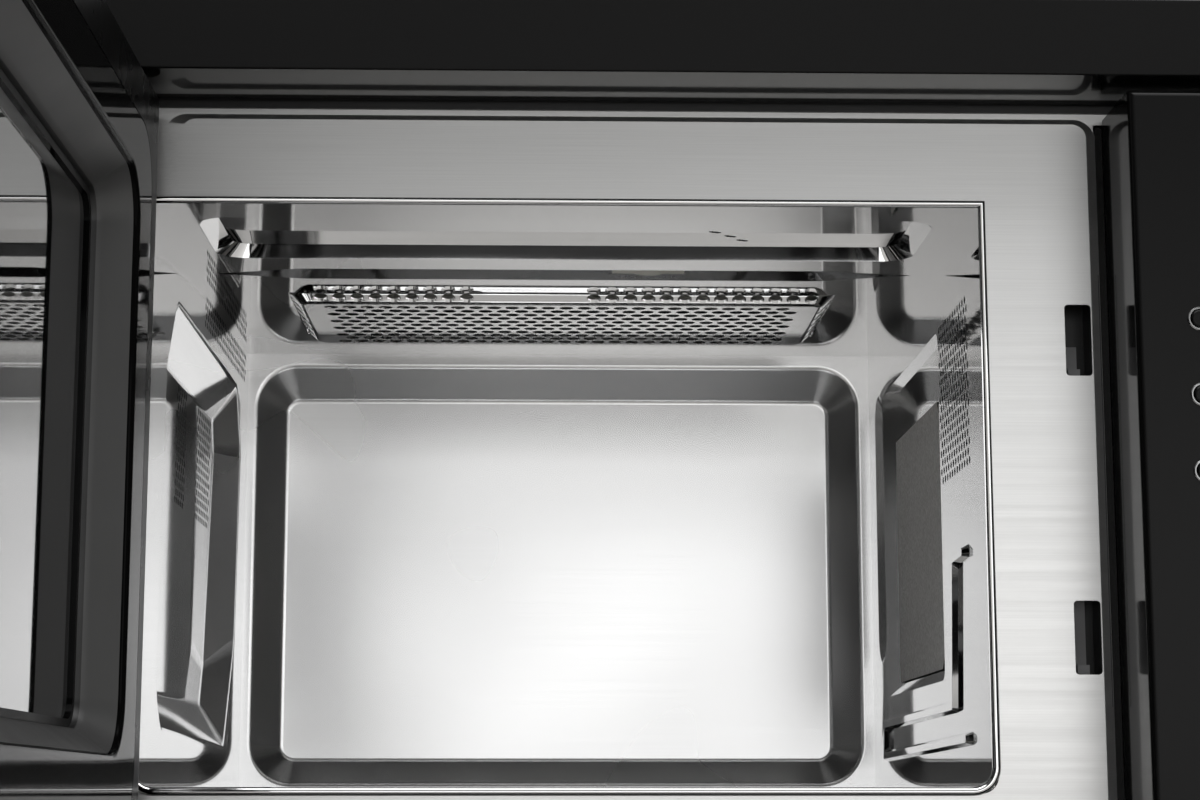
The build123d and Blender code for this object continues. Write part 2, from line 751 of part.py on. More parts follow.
def door_screen():
    """The punched steel sheet behind the window; its holes are too fine to cut here."""
    return behind_window(pane_overlap + 4, pane_y - screen_sheet, screen_sheet, window_corner)


def door_latch():
    """The latch bar with its two hooks, which slides up and down inside the door."""
    half = hook_width / 2
    bar_y0 = door_in_y - door_flange - 9
    bar_y1 = door_in_y - door_flange - 0.3
    bar = block(latch_x - half - 1, latch_x + half + 1, bar_y0, bar_y1,
                latch_lower_z - 20, latch_upper_z + 20)
    for z in latch_heights:
        arm = block(latch_x - half, latch_x + half, bar_y1, plate_y + hook_reach,
                    z - hook_half_height, z + hook_half_height)
        nose = Plane(origin=(latch_x - half, plate_y + hook_reach, z - hook_half_height),
                     x_dir=(0, -1, 0), z_dir=(1, 0, 0))
        barb = Polyline((0, 0), (hook_barb + 2, 0), (hook_barb + 2, hook_barb), (2, hook_barb), close=True)
        bar = bar + arm + extrude(nose * make_face(barb), hook_width)
    return bar


# The latch works behind the plate

def interlock_housing():
    y1 = plate_back_y
    back = plate_y + hook_reach + 4 + lever_sheet + guide_clear
    side = block(latch_x + 6.5, latch_x + 9.5, y1, back + 3, latch_lower_z - 28, latch_upper_z + 28)
    wall = block(latch_x - 7, latch_x + 9.5, back, back + 3, latch_lower_z - 28, latch_upper_z + 28)
    housing = side + wall
    for z in latch_heights:
        housing = housing + block(latch_x - 7, latch_x + 6.5, y1, plate_y + 5, z - 17.5, z - 15.2)
    return housing


def micro_switches():
    y0 = plate_y + 8
    switches = []
    for z in (latch_lower_z + 12, latch_lower_z + 40, latch_upper_z + 10):
        body = block(latch_x + 9.5, latch_x + 16, y0, y0 + 16, z - 14, z + 14)
        body = body + block(latch_x + 11, latch_x + 14, y0 + 16, y0 + 21, z - 9, z - 7)
        body = body + block(latch_x + 11, latch_x + 14, y0 + 16, y0 + 21, z + 7, z + 9)
        switches.append(body)
    return Compound(switches)


def release_lever():
    """The lifter that the door button drives, with a finger under each hook."""
    y0 = plate_y + hook_reach + 4
    y1 = y0 + lever_sheet
    half = hook_width / 2
    lever = block(latch_x - half, latch_x + half, y0, y1, release_z - 4, latch_upper_z)
    lever = lever + block(latch_x - half, release_arm_x + 4, y0, y1, release_z - 4, release_z + 4)
    for z in latch_heights:
        top = z - hook_half_height - hook_barb - 1.5
        lever = lever + block(latch_x - half, latch_x + half, y0 - 6, y0, top - 4, top)
    return lever


# The control panel

def button_places():
    x = panel_x0 + button_from_panel_edge
    first = button_middle_z + button_pitch * (button_count - 1) / 2
    return [(x, first - i * button_pitch) for i in range(button_count)]


def control_fascia():
    shell = block(panel_x0, panel_x1, front_y, plate_y, door_z0, door_z1)
    shell = fillet(shell.edges().group_by(Axis.Y)[0], panel_edge_round)
    hollow = block(panel_x0 + panel_wall, panel_x1 - panel_wall, front_y + panel_face, plate_y,
                   door_z0 + panel_wall, door_z1 - panel_wall)
    shell = shell - hollow
    for x in (panel_x0 + 14, panel_x1 - 14):
        for z in (board_z0 + 6, board_z1 - 6):
            shell = shell + rod((x, front_y + panel_face, z), (0, 1, 0), 3.5, board_y - front_y - panel_face)
    for x, z in button_places():
        shell = shell - rod((x, front_y, z), (0, 1, 0), button_bore + button_clear, panel_face)
    shell = shell - rod((knob_x, front_y, knob_z), (0, 1, 0), knob_stem + 2, panel_face)
    key_half = release_height / 2 + guide_clear
    shell = shell - block(release_x0 - guide_clear, release_x1 + guide_clear, front_y, front_y + panel_face,
                          release_z - key_half, release_z + key_half)
    return shell - rounded_slab(panel_middle_x - display_width / 2, panel_middle_x + display_width / 2,
                                display_z - display_height / 2, display_z + display_height / 2,
                                front_y, panel_face, 2.5)


def display_window():
    clear = 0.1
    half_x = display_width / 2 - clear
    half_z = display_height / 2 - clear
    return rounded_slab(panel_middle_x - half_x, panel_middle_x + half_x,
                        display_z - half_z, display_z + half_z,
                        front_y + 0.2, panel_face - 0.2, 2.4)


def display_module():
    return block(panel_middle_x - display_width / 2 + 4, panel_middle_x + display_width / 2 - 4,
                 front_y + panel_face, board_y, display_z - display_height / 2 + 2,
                 display_z + display_height / 2 - 2)


def control_board():
    board = block(panel_x0 + 8, panel_x1 - 8, board_y, board_y + board_sheet, board_z0, board_z1)
    relay = block(panel_x0 + 30, panel_x0 + 50, board_y + board_sheet, board_y + board_sheet + 16,
                  board_z0 + 20, board_z0 + 36)
    second = Pos(0, 0, 26) * relay
    coil = block(panel_x1 - 60, panel_x1 - 28, board_y + board_sheet, board_y + board_sheet + 22,
                 board_z0 + 24, board_z0 + 56)
    return board + relay + second + coil


def selector_encoder():
    body = block(knob_x - 8, knob_x + 8, front_y + panel_face, board_y, knob_z - 8, knob_z + 8)
    return body - rod((knob_x, front_y + panel_face, knob_z), (0, 1, 0), knob_stem + hinge_running, 8)


def button_rings():
    """Bright bezels pressed into the panel round each button."""
    rings = []
    for x, z in button_places():
        flange = rod((x, front_y - 0.8, z), (0, 1, 0), button_ring_radius, 0.8)
        flange = chamfer(flange.edges().filter_by(GeomType.CIRCLE).sort_by(Axis.Y)[0], 0.35)
        sleeve = rod((x, front_y, z), (0, 1, 0), button_bore + button_clear - 0.02, panel_face)
        rings.append(flange + sleeve - rod((x, front_y - 0.8, z), (0, 1, 0), button_bore, panel_face + 0.8))
    return Compound(rings)


def push_button(place):
    x, z = place
    length = board_y - front_y - button_travel - 0.5 + button_proud
    cap = rod((x, front_y - button_proud, z), (0, 1, 0), button_bore - button_clear, length)
    return fillet(cap.edges().filter_by(GeomType.CIRCLE).sort_by(Axis.Y)[0], 1.2)


def selector_knob():
    face_y = front_y - 1.0 - knob_depth
    knob = rod((knob_x, face_y, knob_z), (0, 1, 0), knob_radius, knob_depth)
    knob = fillet(knob.edges().filter_by(GeomType.CIRCLE).sort_by(Axis.Y)[0], 2.0)
    edge_z = knob_z + knob_radius
    mark = block(knob_x - 0.8, knob_x + 0.8, face_y, face_y + 0.6, edge_z - 9, edge_z - 2.5)
    stem = rod((knob_x, front_y - 1.0, knob_z), (0, 1, 0), knob_stem, 1.0 + panel_face + 7)
    return knob - mark + stem


def door_release_button():
    """The wide key at the foot of the panel, with the stem that drives the lifter."""
    z0 = release_z - release_height / 2
    z1 = release_z + release_height / 2
    key = block(release_x0, release_x1, front_y - release_proud, front_y + 12, z0, z1)
    key = fillet(key.edges().group_by(Axis.Y)[0], 1.5)
    stem_end = plate_y + hook_reach + 4 - latch_travel - 1
    stem = block(release_arm_x - 3, release_arm_x + 3, front_y + 12, stem_end, release_z - 3, release_z + 3)
    return key + stem


# Microwave feed and power supply

def waveguide_cover():
    x1 = cavity_x1 + right_recess_depth
    y0 = plate_y + cover_front
    z0 = floor_z + cover_foot
    sheet = block(x1 - cover_sheet, x1, y0, y0 + cover_width, z0, z0 + cover_height)
    corner = sheet.edges().filter_by(Axis.X).sort_by(lambda e: e.center().Y + e.center().Z)[-1]
    return chamfer(corner, 12)


def waveguide():
    x1 = wall_out_x + guide_box_depth
    y1 = guide_y0 + guide_box_length
    z1 = guide_z0 + guide_box_height
    duct = block(wall_out_x, x1, guide_y0, y1, guide_z0, z1)
    duct = duct - block(wall_out_x, x1 - tube_sheet, guide_y0 + tube_sheet, y1 - tube_sheet,
                        guide_z0 + tube_sheet, z1 - tube_sheet)
    return duct - rod((x1 - tube_sheet, tube_y, tube_z), (1, 0, 0), 10, tube_sheet)


def magnetron_body():
    """The yoke and filter box of the microwave tube."""
    yoke = block(tube_x, tube_x + magnetron_depth, tube_y - magnetron_width / 2, tube_y + magnetron_width / 2,
                 tube_z - magnetron_height / 2, tube_z + magnetron_height / 2)
    yoke = yoke - block(tube_x + 3, tube_x + magnetron_depth - 3, tube_y - magnetron_width / 2,
                        tube_y + magnetron_width / 2, tube_z - magnetron_height / 2 + 3,
                        tube_z + magnetron_height / 2 - 3)
    yoke = yoke - rod((tube_x, tube_y, tube_z), (1, 0, 0), 10, 3)
    box = block(tube_x + magnetron_depth, tube_x + magnetron_depth + 32, tube_y - 30, tube_y + 30,
                tube_z - 27, tube_z + 27)
    return yoke + box


def magnetron_fins():
    """The anode block with its cooling fins and the two ring magnets."""
    x0 = tube_x + 3
    x1 = tube_x + magnetron_depth - 3
    core = rod((x0, tube_y, tube_z), (1, 0, 0), 19, x1 - x0)
    for i in range(6):
        x = x0 + 15 + 5.5 * i
        core = core + block(x, x + 1, tube_y - 36, tube_y + 36, tube_z - magnetron_height / 2 + 3,
                            tube_z + magnetron_height / 2 - 3)
    for x in (x0, x1 - 11):
        core = core + rod((x, tube_y, tube_z), (1, 0, 0), 27, 11)
    return core


def magnetron_antenna():
    stem = rod((tube_x + 3, tube_y, tube_z), (-1, 0, 0), 7.5, 30)
    return fillet(stem.edges().filter_by(GeomType.CIRCLE).sort_by(Axis.X)[0], 2.5)


def transformer_core():
    half_x = core_width / 2
    half_y = core_depth / 2
    core = block(core_x - half_x, core_x + half_x, core_y - half_y, core_y + half_y,
                 base_sheet, base_sheet + core_height)
    for side in (-1, 1):
        z = base_sheet + core_height / 2
        x = core_x + side * core_width / 4
        core = core - block(x - 11, x + 11, core_y - half_y, core_y + half_y, z - 26, z + 26)
    foot = block(core_x - half_x - 12, core_x + half_x + 12, core_y - 18, core_y + 18,
                 base_sheet, base_sheet + 2.5)
    return core + foot


def transformer_windings():
    """Two coils on the middle limb of the core."""
    limb = core_width / 4 - 11
    coils = []
    base = base_sheet + core_height / 2
    for z0, z1 in ((base - 25.5, base - 3), (base - 1, base + 25.5)):
        outer = rounded_box(core_x, core_y, 2 * limb + 43, core_depth + 44, z0, z1, 16)
        inner = block(core_x - limb - 0.3, core_x + limb + 0.3, core_y - core_depth / 2 - 0.3,
                      core_y + core_depth / 2 + 0.3, z0, z1)
        coils.append(outer - inner)
    return Compound(coils)


def rounded_box(x, y, width, depth, z0, z1, radius):
    return extrude(Pos(x, y, z0) * RectangleRounded(width, depth, radius), z1 - z0)


def hv_capacitor():
    can = rounded_box(capacitor_x, capacitor_y, capacitor_depth, capacitor_width, base_sheet,
                      base_sheet + capacitor_height, 15)
    for y in (-10, 10):
        can = can + block(capacitor_x - 3.2, capacitor_x + 3.2, capacitor_y + y - 0.5, capacitor_y + y + 0.5,
                          base_sheet + capacitor_height, base_sheet + capacitor_height + 10)
    return can


def capacitor_clamp():
    grow = 2 * clamp_sheet
    top = clamp_foot + clamp_band
    band = rounded_box(capacitor_x, capacitor_y, capacitor_depth + grow, capacitor_width + grow,
                       clamp_foot, top, 15 + clamp_sheet)
    band = band - rounded_box(capacitor_x, capacitor_y, capacitor_depth, capacitor_width, clamp_foot, top, 15)
    y = capacitor_y + capacitor_width / 2
    leg = block(capacitor_x - 8, capacitor_x + 8, y, y + clamp_sheet, base_sheet, clamp_foot)
    foot = block(capacitor_x - 8, capacitor_x + 8, y, y + 16, base_sheet, base_sheet + clamp_sheet)
    return band + leg + foot


def hv_diode():
    body = rod((capacitor_x, capacitor_y - 40, base_sheet + 4), (0, -1, 0), 4, 30)
    tag = block(capacitor_x - 4, capacitor_x + 4, capacitor_y - 84, capacitor_y - 70,
                base_sheet, base_sheet + 1.2)
    return body + tag + block(capacitor_x - 1, capacitor_x + 1, capacitor_y - 74, capacitor_y - 68,
                              base_sheet, base_sheet + 5)


# Cooling fan

def fan_shroud():
    y0 = back_y - fan_depth
    half = fan_frame / 2
    frame = block(fan_x - half, fan_x + half, y0, back_y, fan_z - half, fan_z + half)
    frame = frame - rod((fan_x, y0, fan_z), (0, 1, 0), fan_radius + 3, fan_depth)
    bridge = block(fan_x - half, fan_x + half, y0, y0 + 4, fan_z - 9, fan_z + 9)
    return frame + bridge - rod((fan_x, y0, fan_z), (0, 1, 0), 5, 4)


def fan_motor():
    """A shaded-pole motor, a laminated frame with a bobbin beside the rotor."""
    y1 = back_y - fan_depth
    stack = block(fan_x - 30, fan_x + 30, y1 - 20, y1, fan_z - 24, fan_z + 24)
    bobbin = rounded_slab(fan_x - 16, fan_x + 16, fan_z - 46, fan_z - 24, y1 - 28, 28, 4)
    cap = rod((fan_x, y1 - 20, fan_z), (0, -1, 0), 14, 8)
    return stack + bobbin + cap - rod((fan_x, y1 - 20, fan_z), (0, 1, 0), 2 + hinge_running, 20)


def fan_blade():
    y0 = back_y - fan_depth + 7
    hub = rod((fan_x, y0, fan_z), (0, 1, 0), 14, 16)
    shaft = rod((fan_x, y0, fan_z), (0, -1, 0), 2, 7 + 18)
    turned = hub + shaft
    for i in range(fan_blades):
        blade = block(12, fan_radius, -1.0, 1.0, -11, 11)
        blade = blade.rotate(Axis.X, 60)
        blade = Pos(0, 8, 0) * blade
        blade = blade.rotate(Axis.Y, i * 360 / fan_blades)
        turned = turned + Pos(fan_x, y0, fan_z) * blade
    trim = rod((fan_x, y0 - 30, fan_z), (0, 1, 0), fan_radius, 60)
    return turned & trim


# Grill, lamp and turning table drive

def grill_reflector():
    z0 = ceiling_z + cavity_sheet + grill_sheet
    x = cavity_middle_x
    half_x = grill_width / 2 + grill_border - 1
    half_y = grill_length / 2 + grill_border - 1
    hood = block(x - half_x, x + half_x, grill_y - half_y, grill_y + half_y, z0, z0 + reflector_height)
    return hood - block(x - half_x + 1, x + half_x - 1, grill_y - half_y + 1, grill_y + half_y - 1,
                        z0, z0 + reflector_height - 1)


def grill_heater():
    """Two quartz tubes, each with a ceramic foot at both ends."""
    z = ceiling_z + cavity_sheet + grill_sheet + 13
    parts = []
    for y in (grill_y - grill_length / 4, grill_y + grill_length / 4):
        half = grill_width / 2 + grill_border - 2
        tube = rod((cavity_middle_x - half, y, z), (1, 0, 0), heater_radius, 2 * half)
        for side in (-1, 1):
            end = cavity_middle_x + side * half
            inner = end - side * 8
            tube = tube + block(min(end, inner), max(end, inner), y - 8, y + 8, z - 13, z + 8)
        parts.append(tube)
    return Compound(parts)


def lamp_holder():
    x = lamp_wall_x
    flange = block(x, x + 1.2, lamp_y - 8, lamp_y + 33, lamp_z - 78, lamp_z - 52)
    arm = block(x, x + 40, lamp_y - 8, lamp_y + 16, lamp_z - 53.2, lamp_z - 52)
    socket = rod((x + 24, lamp_y + 4, lamp_z - 52), (0, 0, 1), 13, 24)
    return flange + arm + socket


def oven_lamp():
    x = lamp_wall_x + 24
    cap = rod((x, lamp_y + 4, lamp_z - 28), (0, 0, 1), 7, 6)
    bulb = rod((x, lamp_y + 4, lamp_z - 22), (0, 0, 1), lamp_radius, 30)
    return cap + fillet(bulb.edges().filter_by(GeomType.CIRCLE), 9)


def turntable_motor():
    z0 = table_top - table_motor_height
    can = rod((cavity_middle_x, table_y, z0), (0, 0, 1), table_motor_radius, table_motor_height)
    ears = block(cavity_middle_x - 34, cavity_middle_x + 34, table_y - 8, table_y + 8,
                 table_top - 1.5, table_top)
    return can + ears - rod((cavity_middle_x, table_y, table_top - 12), (0, 0, 1), 3.5 + hinge_running, 12)


def turntable_coupler():
    """The three-lobed drive star, on the motor's shaft, down in the dish of the floor."""
    z0 = floor_z - floor_dish_depth + 0.5
    star = rod((cavity_middle_x, table_y, z0), (0, 0, 1), 6.5, 4)
    for i in range(3):
        lobe = block(0, coupler_radius, -3, 3, 0, 3.5)
        star = star + Pos(cavity_middle_x, table_y, z0) * lobe.rotate(Axis.Z, 90 + 120 * i)
    return star + rod((cavity_middle_x, table_y, z0), (0, 0, -1), 3.5, z0 - table_top + 11)


# Mains side

def mains_terminal():
    block_body = block(inlet_x - inlet_half, inlet_x + inlet_half, back_y - 20, back_y + 6,
                       inlet_z - inlet_half, inlet_z + inlet_half)
    half = inlet_half + 4
    flange = block(inlet_x - half, inlet_x + half, back_y + rear_sheet, back_y + rear_sheet + 2,
                   inlet_z - half, inlet_z + half)
    ports = [rod((inlet_x + dx, back_y + 6, inlet_z), (0, -1, 0), 3, 16) for dx in (-10, 0, 10)]
    return block_body + flange - ports


def noise_filter_board():
    y1 = back_y
    board = block(inlet_x + 40, inlet_x + 130, y1 - 10, y1 - 8.4, 28, 88)
    corners = [(inlet_x + x, z) for x in (46, 124) for z in (34, 82)]
    studs = [rod((x, y1 - 8.4, z), (0, 1, 0), 3, 8.4) for x, z in corners]
    ring = rod((inlet_x + 70, y1 - 10, 58), (0, -1, 0), 14, 14)
    ring = ring - rod((inlet_x + 70, y1 - 10, 58), (0, -1, 0), 6, 14)
    cans = block(inlet_x + 92, inlet_x + 118, y1 - 26, y1 - 10, 50, 66)
    return board + studs + ring + cans


def thermal_cutouts():
    places = ((cavity_middle_x + 40, grill_y, ceiling_z + cavity_sheet + grill_sheet + reflector_height),
              (cavity_middle_x + 40, plate_y + 130, ceiling_z + cavity_sheet))
    parts = []
    for x, y, z in places:
        disc = rod((x, y, z), (0, 0, 1), 8.5, 8)
        parts.append(disc + block(x - 17, x + 17, y - 5, y + 5, z, z + 1))
    return Compound(parts)


def assembly_screws():
    """Pan-headed screws round the rear panel and along the top cover."""
    heads = []
    y = back_y + rear_sheet
    edge_x = side_x - screw_edge_margin
    for x in (-edge_x, -edge_x / 3, edge_x / 3, edge_x):
        for z in (screw_edge_margin / 2, body_height - screw_edge_margin / 2):
            heads.append(rod((x, y, z), (0, 1, 0), screw_head_radius, screw_head_height))
    for x in (-edge_x, edge_x):
        heads.append(rod((x, y, body_height / 2), (0, 1, 0), screw_head_radius, screw_head_height))
    for x in (-edge_x + 4 * screw_edge_margin, 0.0, edge_x - 4 * screw_edge_margin):
        heads.append(rod((x, plate_y + rail_flange / 2 + 1, body_height), (0, 0, 1), screw_head_radius,
                         screw_head_height))
    return Compound([fillet(h.edges().filter_by(GeomType.CIRCLE), 0.8) for h in heads])


nodes = {
    "base_plate": base_plate,
    "rear_panel": rear_panel,
    "cover_top": cover_top,
    "cover_side_left": lambda: cover_side(-1),
    "cover_side_right": lambda: cover_side(1),
    "front_rails": front_rails,
    "trim_strips": trim_strips,
    "front_plate": front_plate,
    "cavity_ceiling": cavity_ceiling,
    "cavity_left_wall": cavity_left_wall,
    "cavity_right_wall": cavity_right_wall,
    "cavity_floor": cavity_floor,
    "cavity_back_wall": cavity_back_wall,
    "grill_screen": grill_screen,
    "grill_reflector": grill_reflector,
    "grill_heater": grill_heater,
    "waveguide_cover": waveguide_cover,
    "waveguide": waveguide,
    "magnetron_body": magnetron_body,
    "magnetron_fins": magnetron_fins,
    "magnetron_antenna": magnetron_antenna,
    "transformer_core": transformer_core,
    "transformer_windings": transformer_windings,
    "hv_capacitor": hv_capacitor,
    "capacitor_clamp": capacitor_clamp,
    "hv_diode": hv_diode,
    "fan_shroud": fan_shroud,
    "fan_motor": fan_motor,
    "fan_blade": fan_blade,
    "lamp_holder": lamp_holder,
    "oven_lamp": oven_lamp,
    "turntable_motor": turntable_motor,
    "turntable_coupler": turntable_coupler,
    "mains_terminal": mains_terminal,
    "noise_filter_board": noise_filter_board,
    "thermal_cutouts": thermal_cutouts,
    "assembly_screws": assembly_screws,
    "control_fascia": control_fascia,
    "display_window": display_window,
    "display_module": display_module,
    "control_board": control_board,
    "selector_encoder": selector_encoder,
    "selector_knob": selector_knob,
    "button_rings": button_rings,
    "door_release_button": door_release_button,
    "release_lever": release_lever,
    "interlock_housing": interlock_housing,
    "micro_switches": micro_switches,
    "hinge_brackets": hinge_brackets,
    "hinge_pins": hinge_pins,
    "door_casing": lambda: swing_open(door_casing()),
    "door_outer_glass": lambda: swing_open(door_outer_glass()),
    "door_choke_cover": lambda: swing_open(door_choke_cover()),
    "door_pan": lambda: swing_open(door_pan()),
    "door_screen": lambda: swing_open(door_screen()),
    "door_inner_glass": lambda: swing_open(door_inner_glass()),
    "door_latch": lambda: swing_open(door_latch()),
}
for number, place in enumerate(button_places()):
    nodes["push_button_%d" % (number + 1)] = lambda place=place: push_button(place)

os.makedirs("parts", exist_ok=True)
for name, make in nodes.items():
    export_step(make(), "parts/%s.step" % name)
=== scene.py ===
import json
import math

import bpy
from mathutils import Matrix, Vector


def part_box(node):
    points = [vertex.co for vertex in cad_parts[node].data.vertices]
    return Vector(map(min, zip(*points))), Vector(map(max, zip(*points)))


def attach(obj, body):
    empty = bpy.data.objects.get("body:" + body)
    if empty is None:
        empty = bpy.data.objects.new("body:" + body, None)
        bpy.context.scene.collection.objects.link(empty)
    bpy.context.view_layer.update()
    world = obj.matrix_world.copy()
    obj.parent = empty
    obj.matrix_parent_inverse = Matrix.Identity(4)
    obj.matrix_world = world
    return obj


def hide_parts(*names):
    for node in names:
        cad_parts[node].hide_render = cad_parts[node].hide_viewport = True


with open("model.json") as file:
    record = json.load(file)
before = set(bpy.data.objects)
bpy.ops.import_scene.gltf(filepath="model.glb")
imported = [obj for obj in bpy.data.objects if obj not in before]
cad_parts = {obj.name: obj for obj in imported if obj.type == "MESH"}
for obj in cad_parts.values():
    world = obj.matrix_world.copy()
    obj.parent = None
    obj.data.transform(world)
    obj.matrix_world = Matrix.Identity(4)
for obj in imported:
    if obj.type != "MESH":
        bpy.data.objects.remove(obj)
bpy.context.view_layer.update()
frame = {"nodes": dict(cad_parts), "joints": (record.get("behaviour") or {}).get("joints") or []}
nodes = frame["nodes"]


# The studio. A pale floor under a soft roof lamp, a pale surround behind the oven, and one low, wide
# lamp in front, which the bright back wall mirrors. The camera looks up a little into the cavity.
def mm(length):
    return length / 1000


left_wall_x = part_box("cavity_ceiling")[0].x
plate_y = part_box("front_plate")[0].y
floor_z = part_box("cavity_floor")[1].z


def inside(x, y, z):
    """A place in millimetres: right of the left wall, inwards from the plate, above the cavity's floor."""
    return Vector((left_wall_x + mm(x), plate_y + mm(y), floor_z + mm(z)))


def add(tree, kind, settings=(), links=()):
    """Adds a node with its settings and links. A number names an input by its place."""
    node = tree.nodes.new(kind)
    for name, value in dict(settings).items():
        if isinstance(name, int) or name in node.inputs:
            node.inputs[name].default_value = value
        else:
            setattr(node, name, value)
    for name, source in dict(links).items():
        tree.links.new(source, node.inputs[name])
    return node


def linear(colour):
    """The linear colour of an sRGB hex value."""
    parts = [int(colour[i:i + 2], 16) / 255 for i in (1, 3, 5)]
    return [p / 12.92 if p <= 0.04045 else ((p + 0.055) / 1.055) ** 2.4 for p in parts] + [1.0]


photo_lens = 72.51
photo_pitch = 9.39
photo_yaw = 1.42
camera = bpy.data.objects.new("camera", bpy.data.cameras.new("camera"))
camera.data.lens = photo_lens
camera.data.sensor_width = 36
camera.location = inside(161.8, -979.4, -5.0)
camera.rotation_euler = (math.radians(90 + photo_pitch), 0, math.radians(-photo_yaw))
bpy.context.scene.collection.objects.link(camera)
bpy.context.scene.camera = camera
bpy.context.scene.view_settings.view_transform = "Standard"

pale_way = Vector((0, 0.98, 0.2)).normalized()
surround = bpy.data.worlds.new("studio")
surround.use_nodes = True
bpy.context.scene.world = surround
sky = surround.node_tree
sky.nodes["Background"].inputs["Color"].default_value = (1, 1, 1, 1)
way = add(sky, "ShaderNodeTexCoord")
facing = add(sky, "ShaderNodeVectorMath", {"operation": "DOT_PRODUCT", 1: pale_way},
             {0: way.outputs["Generated"]})
backdrop = add(sky, "ShaderNodeMapRange",
               {"interpolation_type": "SMOOTHSTEP", "From Min": -0.35, "From Max": 0.4,
                "To Min": 0.07, "To Max": 0.7},
               {"Value": facing.outputs["Value"]})
sky.links.new(backdrop.outputs["Result"], sky.nodes["Background"].inputs["Strength"])


def soft_lamp(name, place, target, size, radiance):
    """A rectangular soft lamp, which the camera doesn't see. Its power follows from its size and radiance."""
    lamp = bpy.data.objects.new(name, bpy.data.lights.new(name, "AREA"))
    lamp.data.shape = "RECTANGLE"
    lamp.data.size, lamp.data.size_y = size
    lamp.data.energy = math.pi * size[0] * size[1] * radiance
    lamp.location = place
    lamp.rotation_euler = (Vector(target) - Vector(place)).to_track_quat("-Z", "Y").to_euler()
    lamp.visible_camera = False
    bpy.context.scene.collection.objects.link(lamp)


soft_lamp("front", (0.45, -2.4, 0.34), (0.1, 0, 0.3), (2.2, 0.7), 1.9)
soft_lamp("roof", (0.1, -1.3, 2.4), (0.1, -0.6, 0), (2.2, 1.8), 3.6)
soft_lamp("rear", (-0.9, 2.2, 1.4), (0, 0, 0.2), (1.5, 1.2), 2.2)

bpy.ops.object.select_all(action="DESELECT")
bpy.ops.mesh.primitive_plane_add(size=9, location=(0, 0, 0))
floor = bpy.context.object
floor.name = "floor"
pale = bpy.data.materials.new("painted_studio_floor")
pale.use_nodes = True
pale.node_tree.nodes["Principled BSDF"].inputs["Base Color"].default_value = linear("#dcdad7")
pale.node_tree.nodes["Principled BSDF"].inputs["Roughness"].default_value = 0.6
floor.data.materials.append(pale)


# The outer case: a folded tray below, a top, two sides and a back, all of zinc-coated steel sheet
# 0.8 to 1.2 mm thick, cut and folded on a press and held by screws. The coating shows faint spangles.
def finish(name, colour, metallic=0.0, roughness=0.5):
    """A new material with its colour on the shader's own socket, and its Object coordinates."""
    made = bpy.data.materials.new(name)
    made.use_nodes = True
    tree = made.node_tree
    shader = tree.nodes["Principled BSDF"]
    shader.inputs["Base Color"].default_value = linear(colour)
    shader.inputs["Metallic"].default_value = metallic
    shader.inputs["Roughness"].default_value = roughness
    return made, tree, shader, add(tree, "ShaderNodeTexCoord").outputs["Object"]


def grain(tree, place, size, stretch=(1, 1, 1), detail=3.0):
    """Noise whose patches are about as large as a size in metres, drawn out along an axis by a stretch."""
    scaled = add(tree, "ShaderNodeMapping", {"Scale": [1 / (size * s) for s in stretch]}, {"Vector": place})
    return add(tree, "ShaderNodeTexNoise", {"Scale": 1.0, "Detail": detail},
               {"Vector": scaled.outputs["Vector"]})


def between(tree, value, low, high, start=0.2, end=0.8):
    """Spreads a noise value over a range."""
    made = add(tree, "ShaderNodeMapRange",
               {"From Min": start, "From Max": end, "To Min": low, "To Max": high}, {"Value": value})
    return made.outputs["Result"]


def tint(tree, shader, value, dark, light):
    """Varies the colour between two hex values."""
    ramp = add(tree, "ShaderNodeMix", {"data_type": "RGBA", 6: linear(dark), 7: linear(light)}, {0: value})
    tree.links.new(ramp.outputs[2], shader.inputs["Base Color"])


def relief(tree, shader, value, height, after=None):
    """Raises the surface by a pattern, in metres."""
    links = {"Height": value}
    if after:
        links["Normal"] = after
    bump = add(tree, "ShaderNodeBump", {"Strength": 1.0, "Distance": height}, links)
    tree.links.new(bump.outputs["Normal"], shader.inputs["Normal"])
    return bump.outputs["Normal"]


def zinc_coated_steel():
    """Zinc-coated sheet: dull grey, with flat crystals about 9 mm across that shine unevenly."""
    made, tree, shader, place = finish("zinc_coated_steel_sheet", "#a9adae", 1.0, 0.42)
    scaled = add(tree, "ShaderNodeMapping", {"Scale": [1 / mm(9)] * 3}, {"Vector": place})
    spangle = add(tree, "ShaderNodeTexVoronoi", {"Scale": 1.0}, {"Vector": scaled.outputs["Vector"]})
    grey = add(tree, "ShaderNodeSeparateColor", {}, {"Color": spangle.outputs["Color"]})
    tint(tree, shader, grey.outputs["Red"], "#9fa3a4", "#b4b8b9")
    tree.links.new(between(tree, grey.outputs["Green"], 0.36, 0.5, 0, 1), shader.inputs["Roughness"])
    relief(tree, shader, grain(tree, place, mm(60)).outputs["Fac"], mm(0.25))
    return made


def dress(made, *names):
    """Gives a carried-over piece its material."""
    for name in names:
        for slot in nodes[name].material_slots:
            slot.material = made


dress(zinc_coated_steel(), "base_plate", "rear_panel", "cover_top", "cover_side_left", "cover_side_right",
      "grill_reflector", "waveguide", "capacitor_clamp", "lamp_holder")


# The cavity's back wall: a sheet of stainless steel with one large recess, spot welded to the four
# others. Its rolled finish is satin, and theirs is bright-annealed, a mirror with slight waves.
def only(piece):
    """Selects one piece and nothing else."""
    bpy.ops.object.select_all(action="DESELECT")
    piece.select_set(True)
    bpy.context.view_layer.objects.active = piece


